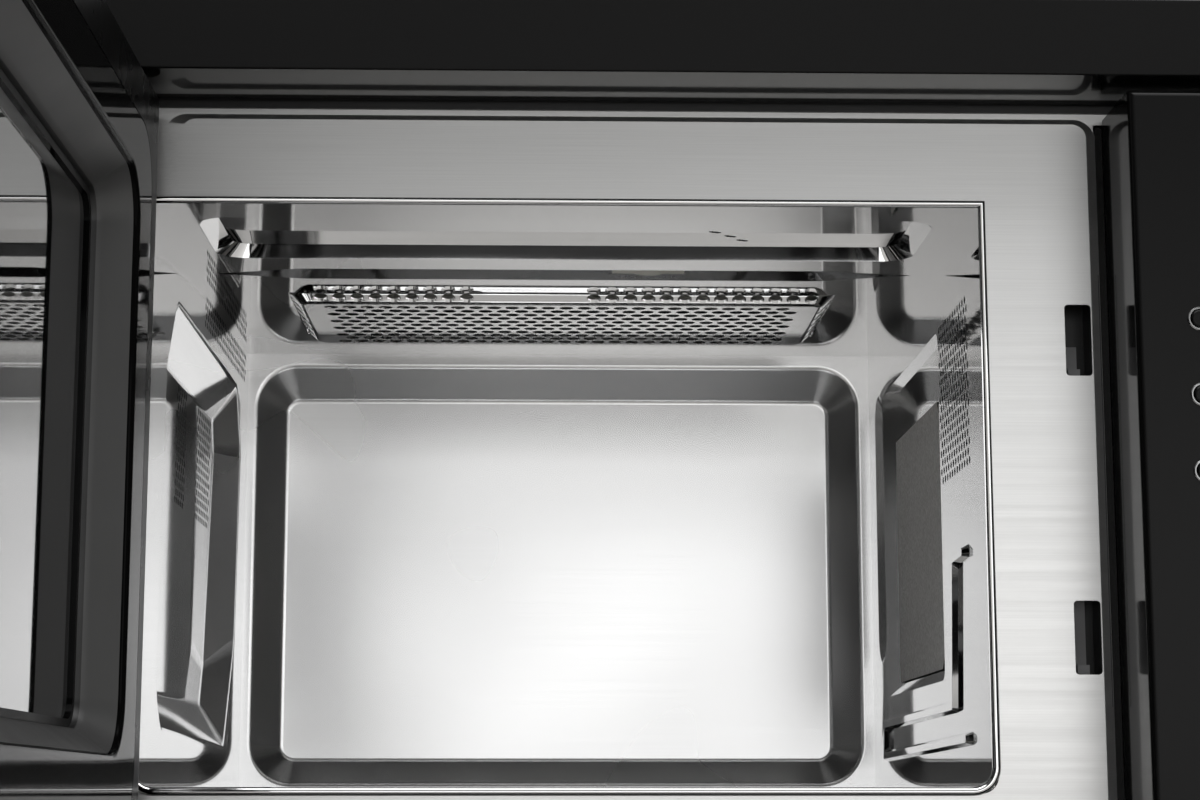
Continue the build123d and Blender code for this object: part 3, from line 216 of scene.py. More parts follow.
def pick(piece, kind, chosen):
    """Goes into edit mode with the faces or vertices selected that a test chooses."""
    only(piece)
    bpy.ops.object.mode_set(mode="EDIT")
    bpy.ops.mesh.select_mode(type=kind)
    bpy.ops.mesh.select_all(action="DESELECT")
    bpy.ops.object.mode_set(mode="OBJECT")
    for part in piece.data.polygons if kind == "FACE" else piece.data.vertices:
        part.select = chosen(part)
    bpy.ops.object.mode_set(mode="EDIT")
    bpy.ops.mesh.select_mode(type=kind)


def apply_modifier(piece, kind, **settings):
    """Gives a piece a modifier and applies it at once."""
    only(piece)
    modifier = piece.modifiers.new(kind.lower(), kind)
    for name, value in settings.items():
        setattr(modifier, name, value)
    bpy.ops.object.modifier_apply(modifier=modifier.name)


def slab(x0, x1, y0, y1, z0, z1):
    """A block between two corners, in millimetres."""
    bpy.ops.object.select_all(action="DESELECT")
    bpy.ops.mesh.primitive_cube_add(size=1, location=(mm(x0 + x1) / 2, mm(y0 + y1) / 2, mm(z0 + z1) / 2))
    piece = bpy.context.object
    piece.scale = (mm(x1 - x0), mm(y1 - y0), mm(z1 - z0))
    bpy.ops.object.transform_apply()
    return piece


def face_outwards(piece):
    """Turns all faces of a closed or open skin the same way, outwards."""
    only(piece)
    bpy.ops.object.mode_set(mode="EDIT")
    bpy.ops.mesh.select_all(action="SELECT")
    bpy.ops.mesh.normals_make_consistent(inside=False)
    bpy.ops.object.mode_set(mode="OBJECT")


def stamp(mouth, face, deep, mouth_corner, face_corner):
    """A press tool: the outline of its mouth, drawn corner by corner, and sloping sides down to its face."""
    bpy.ops.object.select_all(action="DESELECT")
    bpy.ops.mesh.primitive_plane_add(size=mm(1), location=(mm(mouth[0][0]), mm(mouth[0][1]), mm(-1)))
    tool = bpy.context.object
    bpy.ops.object.transform_apply()
    bpy.ops.object.mode_set(mode="EDIT")
    bpy.ops.mesh.select_mode(type="VERT")
    bpy.ops.mesh.select_all(action="SELECT")
    bpy.ops.mesh.merge(type="CENTER")
    for here, there in zip(mouth, mouth[1:]):
        step = (mm(there[0] - here[0]), mm(there[1] - here[1]), 0)
        bpy.ops.mesh.extrude_region_move(TRANSFORM_OT_translate={"value": step})
    bpy.ops.mesh.select_all(action="SELECT")
    bpy.ops.mesh.edge_face_add()
    bpy.ops.mesh.bevel(offset=mm(mouth_corner), segments=11, affect="VERTICES", clamp_overlap=False)
    bpy.ops.mesh.select_all(action="SELECT")
    bpy.ops.mesh.extrude_region_move(TRANSFORM_OT_translate={"value": (0, 0, mm(1))})
    bpy.ops.mesh.extrude_region_move(TRANSFORM_OT_translate={"value": (0, 0, mm(deep))})
    bpy.ops.object.mode_set(mode="OBJECT")
    corners = [Vector((mm(x), mm(y))) for x, y in mouth]
    owners = {}
    for point in tool.data.vertices:
        if point.co.z > mm(deep) / 2:
            nearest = min(range(len(corners)), key=lambda k: (point.co.xy - corners[k]).length)
            owners.setdefault(nearest, set()).add(point.index)
    share = face_corner / mouth_corner
    for k, group in owners.items():
        pick(tool, "VERT", lambda part: part.index in group)
        bpy.ops.transform.resize(value=(share, share, 1), center_override=(*corners[k], 0))
        bpy.ops.transform.translate(value=(mm(face[k][0] - mouth[k][0]), mm(face[k][1] - mouth[k][1]), 0))
        bpy.ops.object.mode_set(mode="OBJECT")
    face_outwards(tool)
    return tool


def rectangle(x0, y0, x1, y1):
    """The four corners of a rectangle, in millimetres."""
    return [(x0, y0), (x1, y0), (x1, y1), (x0, y1)]


def combine(piece, tool, operation):
    """Cuts a tool out of a piece, or joins it on, and takes the tool away."""
    apply_modifier(piece, "BOOLEAN", object=tool, operation=operation, solver="EXACT")
    bpy.data.objects.remove(tool)


def press(sheet, tool, outwards=True):
    """Presses a form into a sheet that lies with its inner face at z = 0."""
    if not outwards:
        only(tool)
        tool.scale = (1, 1, -1)
        bpy.ops.object.transform_apply()
        face_outwards(tool)
    combine(sheet, tool, "DIFFERENCE" if outwards else "UNION")


punch_length = 40.0


def punch(sheet, places, radius, sides=10, squash=1.0, turn=0.0):
    """Punches a field of round or oval holes."""
    bpy.ops.object.select_all(action="DESELECT")
    bpy.ops.mesh.primitive_cylinder_add(vertices=sides, radius=mm(radius), depth=mm(punch_length))
    first = bpy.context.object
    first.scale.y = squash
    first.rotation_euler.z = math.radians(turn)
    bpy.ops.object.transform_apply()
    tools = []
    for x, y in places:
        tool = bpy.data.objects.new("punch", first.data.copy())
        tool.data.transform(Matrix.Translation((mm(x), mm(y), 0)))
        bpy.context.scene.collection.objects.link(tool)
        tools.append(tool)
    bpy.data.objects.remove(first)
    bpy.ops.object.select_all(action="DESELECT")
    for tool in tools:
        tool.select_set(True)
    bpy.context.view_layer.objects.active = tools[0]
    bpy.ops.object.join()
    combine(sheet, tools[0], "DIFFERENCE")


def staggered(x0, y0, columns, rows, pitch, row):
    """Middles of a staggered field of holes, from its first hole."""
    return [(x0 + i * pitch + (pitch / 2 if j % 2 else 0), y0 + j * row)
            for j in range(rows) for i in range(columns)]


sheet_bend = 1.6
flat_angle = math.radians(12)
cavity_sheet = 0.8
blank_thick = 20.0


def pressed_sheet(width, height, forms):
    """A flat sheet with pressed forms: its inner skin is kept, its bends rounded, and it gets its gauge."""
    sheet = slab(0, width, 0, height, 0, blank_thick)
    for tool, outwards in forms:
        press(sheet, tool, outwards)

    def outer(face):
        edge = mm(0.01)
        middle = face.center
        return (middle.z > mm(blank_thick) - edge or middle.x < edge or middle.x > mm(width) - edge
                or middle.y < edge or middle.y > mm(height) - edge)

    pick(sheet, "FACE", outer)
    bpy.ops.mesh.delete(type="FACE")
    bpy.ops.object.mode_set(mode="OBJECT")
    apply_modifier(sheet, "BEVEL", width=mm(sheet_bend), segments=3, limit_method="ANGLE",
                   angle_limit=flat_angle)
    apply_modifier(sheet, "SOLIDIFY", thickness=mm(cavity_sheet), offset=1 if faces_down(sheet) else -1)
    return sheet


def faces_down(sheet):
    """Tells whether the sheet's skin points away from the cavity."""
    largest = max(sheet.data.polygons, key=lambda face: face.area)
    return largest.normal.z > 0


def stand(sheet, corner, along, up, out):
    """Stands a flat sheet in its place: its x along one way, its y up another, its outer side out."""
    turn = Matrix((along, up, out)).transposed().to_4x4()
    sheet.data.transform(Matrix.Translation(corner) @ turn)
    if turn.determinant() < 0:
        sheet.data.flip_normals()


def smooth(piece, angle=32):
    """Smooth bends between flats that stay flat."""
    only(piece)
    bpy.ops.object.shade_smooth_by_angle(angle=math.radians(angle))
    apply_modifier(piece, "WEIGHTED_NORMAL", keep_sharp=True, weight=80)


def keep(piece, name, made, body, slot, *replaced):
    """Names a finished piece, gives it its material, hides the pieces it replaces and hangs it on its body.
    """
    piece.name = name
    piece.data.materials.clear()
    piece.data.materials.append(made)
    if replaced:
        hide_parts(*replaced)
    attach(piece, body)


def bright_steel(name, along, wave, low, high):
    """Bright-annealed stainless steel: a mirror with long shallow waves and fine rolling lines."""
    made, tree, shader, place = finish(name, "#d6d6d6", 1.0, low)
    rolled = grain(tree, place, mm(1.6), along, 2.0)
    smear = grain(tree, place, mm(90), detail=0.0)
    tint(tree, shader, rolled.outputs["Fac"], "#d3d3d3", "#d9d9d9")
    tree.links.new(between(tree, smear.outputs["Fac"], low, high), shader.inputs["Roughness"])
    relief(tree, shader, grain(tree, place, mm(120), detail=0.0).outputs["Fac"], mm(wave))
    return made


wall_steel = bright_steel("bright_annealed_steel_walls", (1, 90, 1), 0.16, 0.03, 0.06)
ceiling_steel = bright_steel("bright_annealed_steel_ceiling", (90, 1, 1), 0.2, 0.03, 0.06)
back_steel = bright_steel("satin_rolled_steel_back", (90, 1, 1), 0.06, 0.24, 0.28)

cavity_width = 344.0
cavity_depth = 343.0
cavity_height = 239.0
right = Vector((1, 0, 0))
deeper = Vector((0, 1, 0))
upwards = Vector((0, 0, 1))

back_mouth = rectangle(5, 3.2, 337.5, 232)
back_face = rectangle(20.5, 16, 322, 215)
back_depth = 14.0
back_wall = pressed_sheet(cavity_width, cavity_height, [
    (stamp(back_mouth, back_face, back_depth, 22, 8), True),
])
stand(back_wall, inside(0, cavity_depth, 0), right, upwards, deeper)
smooth(back_wall)
keep(back_wall, "back_wall_pressing", back_steel, "root", "polished_steel", "cavity_back_wall")


# The ceiling: a mirror-bright sheet with a long deep pocket behind the mouth and a shallow tapered
# channel before the grill's opening. A row of holes runs along that opening's front edge.
pocket_mouth = rectangle(14.7, 24.4, 330.7, 102.5)
pocket_face = rectangle(21, 26, 324.4, 101.78)
pocket_depth = 6.5
channel_mouth = [(8, 136), (50, 124), (294, 124), (337, 132), (294, 146), (50, 146)]
channel_face = [(20, 134), (54, 128.5), (290, 128.5), (324, 131.5), (290, 136.4), (54, 136.4)]
channel_depth = 4.5
ceiling = pressed_sheet(cavity_width, cavity_depth, [
    (stamp(pocket_mouth, pocket_face, pocket_depth, 14, 9), True),
    (stamp(channel_mouth, channel_face, channel_depth, 2, 0.6), True),
])
tray_low, tray_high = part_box("grill_screen")
tray_x0 = (tray_low.x - left_wall_x) * 1000
tray_x1 = (tray_high.x - left_wall_x) * 1000
tray_y0 = (tray_low.y - plate_y) * 1000
tray_y1 = (tray_high.y - plate_y) * 1000
lap = 5.8
grill_opening = slab(tray_x0 + lap, tray_x1 - lap, tray_y0 + lap, tray_y1 - lap, -5, 5)
combine(ceiling, grill_opening, "DIFFERENCE")
pocket_slots = [(239.4, 73.8), (246.8, 81.5), (252.8, 89.4)]
punch(ceiling, pocket_slots, 3.2, squash=0.45, turn=25)
tray_hole = 3.5
tray_pitch = 8.9
tray_columns = 26
hole_x0 = cavity_width / 2 - (tray_columns - 0.5) / 2 * tray_pitch
lip_y = 175.3
lip_bare = (136, 189)
lip_row = [(hole_x0 + tray_pitch * k, lip_y) for k in range(-1, tray_columns + 1)]
lip_row = [(x, y) for x, y in lip_row if not lip_bare[0] < x < lip_bare[1]]
punch(ceiling, lip_row, tray_hole)
stand(ceiling, inside(0, 0, cavity_height), right, deeper, upwards)
smooth(ceiling)
keep(ceiling, "ceiling_pressing", ceiling_steel, "root", "polished_steel", "cavity_ceiling")


# The right wall: a recess for the microwave feed, an upright groove behind it, and one narrow bead
# that is pressed inwards and turns four corners. A punched field lets the oven lamp shine in.
feed_mouth = rectangle(109, 48, 285, 207.5)
feed_face = rectangle(114.5, 54, 249, 203)
feed_depth = 3.0
groove_mouth = rectangle(290, 67, 319, 210)
groove_face = rectangle(298, 75, 311, 202)
groove_depth = 3.4
vent_pitch = 6.2
vent_row = 4.1
vent_hole = 1.8
vent_sides = 8


def strip_outline(points, half, cut=0.0):
    """The outline of a strip along a line of points, mitred at its corners and cut short at its ends."""
    line = [Vector(point) for point in points]
    ways = [(there - here).normalized() for here, there in zip(line, line[1:])]
    line[0] += ways[0] * cut
    line[-1] -= ways[-1] * cut
    left_side, right_side = [], []
    for place, before, after in zip(line, ways[:1] + ways, ways + ways[-1:]):
        aside = (before + after).orthogonal() / (1 + before.dot(after)) * half
        left_side.append(tuple(place + aside))
        right_side.append(tuple(place - aside))
    return right_side + left_side[::-1]


bead_route = [(39, 99.6), (71, 98.6), (79, 35.2), (288.5, 33.7), (291, 17.5), (40, 20.4)]
bead_height = 2.5
bead_half = 2.8
bead_slope = 1.2
bead_run_out = 6.0
bead_foot = strip_outline(bead_route, bead_half)
bead_top = strip_outline(bead_route, bead_half - bead_slope, bead_run_out)
right_wall = pressed_sheet(cavity_depth, cavity_height, [
    (stamp(feed_mouth, feed_face, feed_depth, 6, 3.5), True),
    (stamp(groove_mouth, groove_face, groove_depth, 14, 6.4), True),
    (stamp(bead_foot, bead_top, bead_height, 2.0, 1.0), False),
])
punch(right_wall, staggered(33.5, 137.5, 12, 18, vent_pitch, vent_row), vent_hole, vent_sides)
stand(right_wall, inside(cavity_width, 0, 0), deeper, upwards, right)
smooth(right_wall)
keep(right_wall, "right_wall_pressing", wall_steel, "root", "polished_steel", "cavity_right_wall")


# The left wall: one large recess with sloping flanks stiffens the sheet, and three punched fields in
# it and above it let air and steam out. The cavity's floor is a flat sheet of the same steel.
left_mouth = [(53, 40), (67, 25), (274, 21.5), (308, 75), (316, 181), (295, 212), (81, 214), (56, 180)]
left_face = [(71, 54), (82, 42.5), (261, 42.6), (271, 62.2), (290, 178.5), (283, 192.5), (92, 192), (74, 176)]
left_depth = 11.4
left_wall = pressed_sheet(cavity_depth, cavity_height, [
    (stamp(left_mouth, left_face, left_depth, 5, 2.5), True),
])
steam_fields = ((169, 221.5, 26, 4), (162.5, 135.5, 5, 14), (231, 135.5, 8, 14))
for y0, z0, columns, rows in steam_fields:
    punch(left_wall, staggered(y0, z0, columns, rows, vent_pitch, vent_row), vent_hole, vent_sides)
stand(left_wall, inside(0, 0, 0), deeper, upwards, -right)
smooth(left_wall)
keep(left_wall, "left_wall_pressing", wall_steel, "root", "polished_steel", "cavity_left_wall")

dress(ceiling_steel, "cavity_floor")


# The grill tray: a sheet punched with staggered round holes and pressed down into a shallow tray,
# which hangs from the rim of the ceiling's opening. Its front slope and its ends have rows of their own.
tray_rows = 11
tray_row = 8.86
tray_drop = 5.0
tray_rim = 6.0
tray_width = (tray_high.x - tray_low.x) * 1000
tray_length = (tray_high.y - tray_low.y) * 1000
tray_mouth = rectangle(tray_rim, tray_rim, tray_width - tray_rim, tray_length - tray_rim)
tray_face = rectangle(tray_rim + 6, tray_rim + 3, tray_width - tray_rim - 6, tray_length - tray_rim - 3)
tray = pressed_sheet(tray_width, tray_length, [
    (stamp(tray_mouth, tray_face, tray_drop + cavity_sheet, 8, 5), False),
])
first_x = hole_x0 - tray_x0
first_y = 188.5 - tray_y0
punch(tray, staggered(first_x, first_y, tray_columns, tray_rows, tray_pitch, tray_row), tray_hole)
slope_bare = (96, 150)
slope_row = [(first_x + (i - 0.5) * tray_pitch, tray_rim + 1.5) for i in range(tray_columns + 2)]
slope_row = [(x, y) for x, y in slope_row if not slope_bare[0] < x < slope_bare[1]]
punch(tray, slope_row, tray_hole, 14, squash=0.3)
end_holes = 6
end_pitch = 17.0
end_columns = (tray_rim + 3, tray_width - tray_rim - 3)
punch(tray, [(x, first_y + 11.5 + end_pitch * k) for x in end_columns for k in range(end_holes)], tray_hole)
stand(tray, inside(tray_x0, tray_y0, cavity_height + cavity_sheet), right, deeper, upwards)
smooth(tray)
keep(tray, "punched_grill_tray", ceiling_steel, "root", "polished_steel", "grill_screen")


# The front plate: brushed stainless steel round the cavity's mouth, cut on a press. Its face is raised
# from a narrow border, two slots take the hooks of the latch, and a long groove lies beside them.
def brushed_steel_sheet():
    """Brushed stainless steel: level strokes smear what it mirrors. They are drawn coarser than real."""
    made, tree, shader, place = finish("horizontally_brushed_steel", "#dcdcdb", 1.0, 0.4)
    strokes = grain(tree, place, mm(0.45), (130, 1, 1), 1.0)
    streaks = grain(tree, place, mm(3), (50, 1, 1), 1.0)
    tree.links.new(between(tree, streaks.outputs["Fac"], 0.37, 0.42), shader.inputs["Roughness"])
    waves = relief(tree, shader, grain(tree, place, mm(150), detail=0.0).outputs["Fac"], mm(0.12))
    relief(tree, shader, strokes.outputs["Fac"], mm(0.0012), waves)
    tint(tree, shader, strokes.outputs["Fac"], "#d4d4d3", "#e2e2e1")
    return made


plate_sheet = 1.2
plate_x0 = -28.5
plate_x1 = 558.5
plate_z0 = -38.0
plate_z1 = 280.0
border_step = 1.2
slope_foot = rectangle(4.5 - plate_x0, -35.6 - plate_z0, 394.4 - plate_x0, 277.6 - plate_z0)
raised_face = rectangle(11.5 - plate_x0, -33.4 - plate_z0, 390.5 - plate_x0, 275.4 - plate_z0)
plate = pressed_sheet(plate_x1 - plate_x0, plate_z1 - plate_z0, [
    (stamp(slope_foot, raised_face, border_step, 9, 6), False),
])
stand(plate, inside(plate_x0, border_step, plate_z0), right, upwards, deeper)


def cut(sheet, x0, x1, z0, z1, corner):
    """Cuts an upright opening with round corners through the standing plate."""
    start, through = -10, 30
    tool = stamp(rectangle(x0, z0, x1, z1), rectangle(x0, z0, x1, z1), through, corner, corner)
    stand(tool, inside(0, start, 0), right, upwards, deeper)
    face_outwards(tool)
    combine(sheet, tool, "DIFFERENCE")


mouth_room = 2.6
cut(plate, -mouth_room, cavity_width + mouth_room, -mouth_room, cavity_height + mouth_room, 7)
slot_x0 = 379.0
slot_x1 = 390.0
slot_half_height = 15.0
for middle in (60.0, 183.0):
    cut(plate, slot_x0, slot_x1, middle - slot_half_height, middle + slot_half_height, 1.6)
groove_x0 = 394.4
groove_x1 = 397.4
cut(plate, groove_x0, groove_x1, -30, 274.4, 1.4)
panel_opening = (414.5, 541.5, -27, 267)
cut(plate, *panel_opening, 3)
notch_x0 = -27.5
notch_x1 = -7.5
for z0, z1 in ((-45, -34.5), (276.5, 290)):
    cut(plate, notch_x0, notch_x1, z0, z1, 0.5)
smooth(plate)
keep(plate, "pressed_front_plate", brushed_steel_sheet(), "root", "brushed_steel", "front_plate")


# The roll round the cavity's mouth, where the plate and the four walls are folded into each other and
# welded, and a strip of black foam rubber behind the plate's long groove that keeps light out, put there as
# painted shade so the groove reads black.
rim_radius = 1.8
rim_behind_face = 0.4
foot_corner = 8.0
foot_steps = 8


def mouth_outline():
    """The mouth's outline, with square corners above and round ones below."""
    reach = foot_corner + rim_radius
    points = [inside(-rim_radius, 0, cavity_height + rim_radius), inside(-rim_radius, 0, foot_corner)]
    for k in range(1, foot_steps + 1):
        turn = math.pi / 2 * k / foot_steps
        points.append(inside(foot_corner - reach * math.cos(turn), 0, foot_corner - reach * math.sin(turn)))
    right_middle = cavity_width - foot_corner
    for k in range(foot_steps + 1):
        turn = math.pi / 2 * k / foot_steps
        points.append(inside(right_middle + reach * math.sin(turn), 0, foot_corner - reach * math.cos(turn)))
    points.append(inside(cavity_width + rim_radius, 0, cavity_height + rim_radius))
    return points


def tube_along(name, points, radius):
    """A rolled edge, swept along its corners and closed on itself."""
    path = bpy.data.curves.new(name, "CURVE")
    path.dimensions = "3D"
    path.bevel_depth = mm(radius)
    path.bevel_resolution = 3
    line = path.splines.new("POLY")
    line.points.add(len(points) - 1)
    for point, place in zip(line.points, points):
        point.co = (*place, 1)
    line.use_cyclic_u = True
    drawn = bpy.data.objects.new(name, path)
    bpy.context.scene.collection.objects.link(drawn)
    only(drawn)
    bpy.ops.object.convert(target="MESH")
    return bpy.context.object


mouth_rim = tube_along("mouth_roll", mouth_outline(), rim_radius)
mouth_rim.data.transform(Matrix.Translation((0, mm(rim_behind_face), 0)))
smooth(mouth_rim, 60)
keep(mouth_rim, "mouth_roll", wall_steel, "root", "brushed_steel")


def shade_foam():
    """Black foam rubber: quite dull, with open cells. It stands behind the groove as painted shade."""
    made, tree, shader, place = finish("black_painted_shade_foam", "#0a0a0a", 0.0, 0.9)
    relief(tree, shader, grain(tree, place, mm(0.8)).outputs["Fac"], mm(0.2))
    return made


seal_lap = 1.2
seal_thick = 2.5
# A black strip behind the groove: painted shade.
seal = slab(groove_x0 - seal_lap, groove_x1 + 1.0, plate_sheet, plate_sheet + seal_thick, -32, 276)
apply_modifier(seal, "BEVEL", width=mm(0.6), segments=2)
seal.data.transform(Matrix.Translation(inside(0, 0, 0)))
keep(seal, "groove_painted_shade_strip", shade_foam(), "root", "trim_black")


# The mica sheet over the opening of the microwave feed, with its four corners clipped. Mica is pressed
# from silvery flakes and cut with shears, so its edge is dark; the edge is also painted darker as painted
# shade, to draw a shadow line round the sheet.
def pressed_mica():
    """Pressed mica: pale silvery flakes about a millimetre across, some of them duller."""
    made, tree, shader, place = finish("pressed_mica_sheet", "#efece8", 0.0, 0.5)
    flakes = add(tree, "ShaderNodeTexVoronoi", {"Scale": 1 / mm(1.2)}, {"Vector": place})
    grey = add(tree, "ShaderNodeSeparateColor", {}, {"Color": flakes.outputs["Color"]})
    tint(tree, shader, grey.outputs["Red"], "#d9d6d1", "#fbf9f6")
    tree.links.new(between(tree, grey.outputs["Green"], 0.4, 0.6, 0, 1), shader.inputs["Roughness"])
    relief(tree, shader, grey.outputs["Blue"], mm(0.015))
    return made


def mica_edge_and_painted_shade():
    """The sheared edge of the mica: dark and fibrous, and painted darker as shade for a shadow line round the
    sheet.
    """
    made, tree, shader, place = finish("mica_edge_and_painted_shade", "#1d1a17", 0.0, 0.7)
    relief(tree, shader, grain(tree, place, mm(0.6)).outputs["Fac"], mm(0.1))
    return made


cover_low, cover_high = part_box("waveguide_cover")
clipped_corner = 6.0
bpy.ops.object.select_all(action="DESELECT")
bpy.ops.mesh.primitive_plane_add(size=1, location=(cover_low + cover_high) / 2, rotation=(0, -math.pi / 2, 0))
mica_cover = bpy.context.object
mica_cover.scale = (cover_high.z - cover_low.z, cover_high.y - cover_low.y, 1)
bpy.ops.object.transform_apply()
bpy.ops.object.mode_set(mode="EDIT")
bpy.ops.mesh.select_all(action="SELECT")
bpy.ops.mesh.bevel(offset=mm(clipped_corner), segments=1, affect="VERTICES")
bpy.ops.object.mode_set(mode="OBJECT")
apply_modifier(mica_cover, "SOLIDIFY", thickness=cover_high.x - cover_low.x, offset=0)
keep(mica_cover, "mica_cover", pressed_mica(), "root", "mica", "waveguide_cover")
mica_cover.data.materials.append(mica_edge_and_painted_shade())
# Side faces get the dark edge: partly the sheared edge, partly painted shade.
for face in mica_cover.data.polygons:
    face.material_index = 0 if abs(face.normal.x) > 0.9 else 1


# The magnetron and the small works: aluminium fins in a zinc-plated yoke, a plated cap on the antenna,
# and a fan, switches, levers and housings moulded in nylon.
def plain_metal(name, colour, roughness, size=0.8, stretch=(1, 1, 1)):
    """A metal with a fine grain from how it was made."""
    made, tree, shader, place = finish(name, colour, 1.0, roughness)
    fine = grain(tree, place, mm(size), stretch)
    uneven = between(tree, fine.outputs["Fac"], roughness * 0.8, roughness * 1.25)
    tree.links.new(uneven, shader.inputs["Roughness"])
    relief(tree, shader, fine.outputs["Fac"], mm(0.01))
    return made


def moulded(name, colour, roughness, size=0.5, height=0.01, coat=0.0):
    """A moulded plastic with the fine texture of its mould."""
    made, tree, shader, place = finish(name, colour, 0.0, roughness)
    fine = grain(tree, place, mm(size))
    worn = grain(tree, place, mm(30))
    uneven = between(tree, worn.outputs["Fac"], roughness * 0.88, roughness * 1.15)
    tree.links.new(uneven, shader.inputs["Roughness"])
    shader.inputs["Coat Weight"].default_value = coat
    relief(tree, shader, fine.outputs["Fac"], mm(height))
    return made


dress(plain_metal("pressed_aluminium", "#d3d5d6", 0.3, 0.5, (1, 20, 1)), "magnetron_fins", "hv_capacitor")
dress(plain_metal("zinc_plated_yoke", "#b3b3ac", 0.35), "magnetron_body")
dress(plain_metal("plated_antenna_cap", "#b98f5c", 0.25), "magnetron_antenna")
dress(moulded("heat_resistant_nylon", "#dad7cc", 0.45), "fan_blade", "turntable_coupler", "selector_encoder",
      "thermal_cutouts")
grey_nylon = moulded("glass_filled_nylon", "#7a7a7b", 0.5, 0.4, 0.02)
dress(grey_nylon, "fan_shroud", "mains_terminal", "release_lever")
dress(moulded("moulded_switch_black", "#1c1c1c", 0.45), "micro_switches", "hv_diode", "display_module")
# The housing behind the latch slots is painted near black as painted shade, so the slots read black.
dress(moulded("black_nylon_painted_shade", "#0b0b0b", 0.4), "interlock_housing")


# Power supply and motors: cores of stacked, varnished sheet iron with wound copper coils,
# a drawn aluminium capacitor, and small motors in pressed steel cans.
def stacked_iron():
    """Varnished sheet iron: the edges of the stack show as dark lines, drawn coarser than real."""
    made, tree, shader, place = finish("varnished_iron_stack", "#565250", 0.7, 0.45)
    lines = add(tree, "ShaderNodeTexWave", {"wave_type": "BANDS", "bands_direction": "Y", "Scale": 1 / mm(6)},
                {"Vector": place})
    tint(tree, shader, lines.outputs["Fac"], "#4a4644", "#64605d")
    relief(tree, shader, lines.outputs["Fac"], mm(0.1))
    return made


def wound_copper():
    """Enamelled copper wire: even reddish turns with a satin shine."""
    made, tree, shader, place = finish("enamelled_copper_winding", "#a4552b", 0.8, 0.35)
    lines = add(tree, "ShaderNodeTexWave", {"wave_type": "BANDS", "bands_direction": "Z", "Scale": 1 / mm(8)},
                {"Vector": place})
    tint(tree, shader, lines.outputs["Fac"], "#7d3d1c", "#bb6a38")
    relief(tree, shader, lines.outputs["Fac"], mm(0.4))
    return made


dress(stacked_iron(), "transformer_core", "fan_motor")
dress(wound_copper(), "transformer_windings")
dress(plain_metal("zinc_plated_can", "#b6b8b8", 0.3), "turntable_motor")


# Grill, lamp and boards: quartz tubes in ceramic feet, a clear bulb, and glass-fibre boards.
def frosted_quartz():
    """Frosted quartz: milky, with faint clouds."""
    made, tree, shader, place = finish("frosted_quartz_tube", "#e9e6df", 0.0, 0.35)
    cloud = grain(tree, place, mm(8))
    tint(tree, shader, cloud.outputs["Fac"], "#dedad2", "#f0eee9")
    relief(tree, shader, grain(tree, place, mm(0.8)).outputs["Fac"], mm(0.02))
    return made


def clear_glass():
    """Blown glass: clear, with a slow ripple."""
    made, tree, shader, place = finish("clear_lamp_glass", "#f4f4ee", 0.0, 0.03)
    shader.inputs["Transmission Weight"].default_value = 0.9
    relief(tree, shader, grain(tree, place, mm(12)).outputs["Fac"], mm(0.05))
    return made


def fibre_board():
    """Glass-fibre board under green lacquer, through which the weave just shows."""
    made, tree, shader, place = finish("glass_fibre_board", "#1f5c36", 0.0, 0.4)
    weave = grain(tree, place, mm(1.2))
    tint(tree, shader, weave.outputs["Fac"], "#1a4f2e", "#26683f")
    relief(tree, shader, weave.outputs["Fac"], mm(0.03))
    return made


dress(frosted_quartz(), "grill_heater")
dress(clear_glass(), "oven_lamp")
dress(fibre_board(), "control_board", "noise_filter_board")
dress(plain_metal("zinc_plated_screw", "#bcbcb6", 0.3), "assembly_screws", "hinge_pins", "hinge_brackets")


# Trim strips and rails: black strips above and below the door. Their faces are matte, their flat
# undersides and tops are left glossy from the mould and painted darker as shade, and the rails behind them
# are painted black.
def two_sided_mould(name, front, painted_shade_flank, front_rough, flank_rough, specular):
    """Black plastic from a mould with a textured front, whose flanks and edges are polished and painted
    darker as shade.
    """
    made, tree, shader, place = finish(name, front, 0.0, front_rough)
    sides = add(tree, "ShaderNodeTexCoord").outputs["Normal"]
    forwards = add(tree, "ShaderNodeSeparateXYZ", {}, {"Vector": sides}).outputs["Y"]
    facing_front = add(tree, "ShaderNodeMath", {"operation": "ABSOLUTE"}, {0: forwards}).outputs["Value"]
    turned, flat = 0.75, 0.95
    polish = between(tree, facing_front, flank_rough, front_rough, turned, flat)
    tree.links.new(polish, shader.inputs["Roughness"])
    # Faces that turn away from the front get the darker colour: painted shade.
    tint(tree, shader, between(tree, facing_front, 0, 1, turned, flat), painted_shade_flank, front)
    shader.inputs["Specular IOR Level"].default_value = specular
    relief(tree, shader, grain(tree, place, mm(0.35)).outputs["Fac"], mm(0.004))
    return made


def gloss_moulding(name, colour, roughness, specular):
    """Polished black plastic: nearly a mirror, with the slow waves of a moulded wall."""
    made, tree, shader, place = finish(name, colour, 0.0, roughness)
    shader.inputs["Specular IOR Level"].default_value = specular
    smear = grain(tree, place, mm(25))
    uneven = between(tree, smear.outputs["Fac"], roughness * 0.85, roughness * 1.2)
    tree.links.new(uneven, shader.inputs["Roughness"])
    relief(tree, shader, grain(tree, place, mm(60), detail=0.0).outputs["Fac"], mm(0.08))
    return made


dress(two_sided_mould("trim_moulding", "#131313", "#0a0a0a", 0.5, 0.07, 0.12), "trim_strips")
dress(moulded("black_powder_coat", "#0c0c0c", 0.45, 0.9, 0.04), "front_rails")


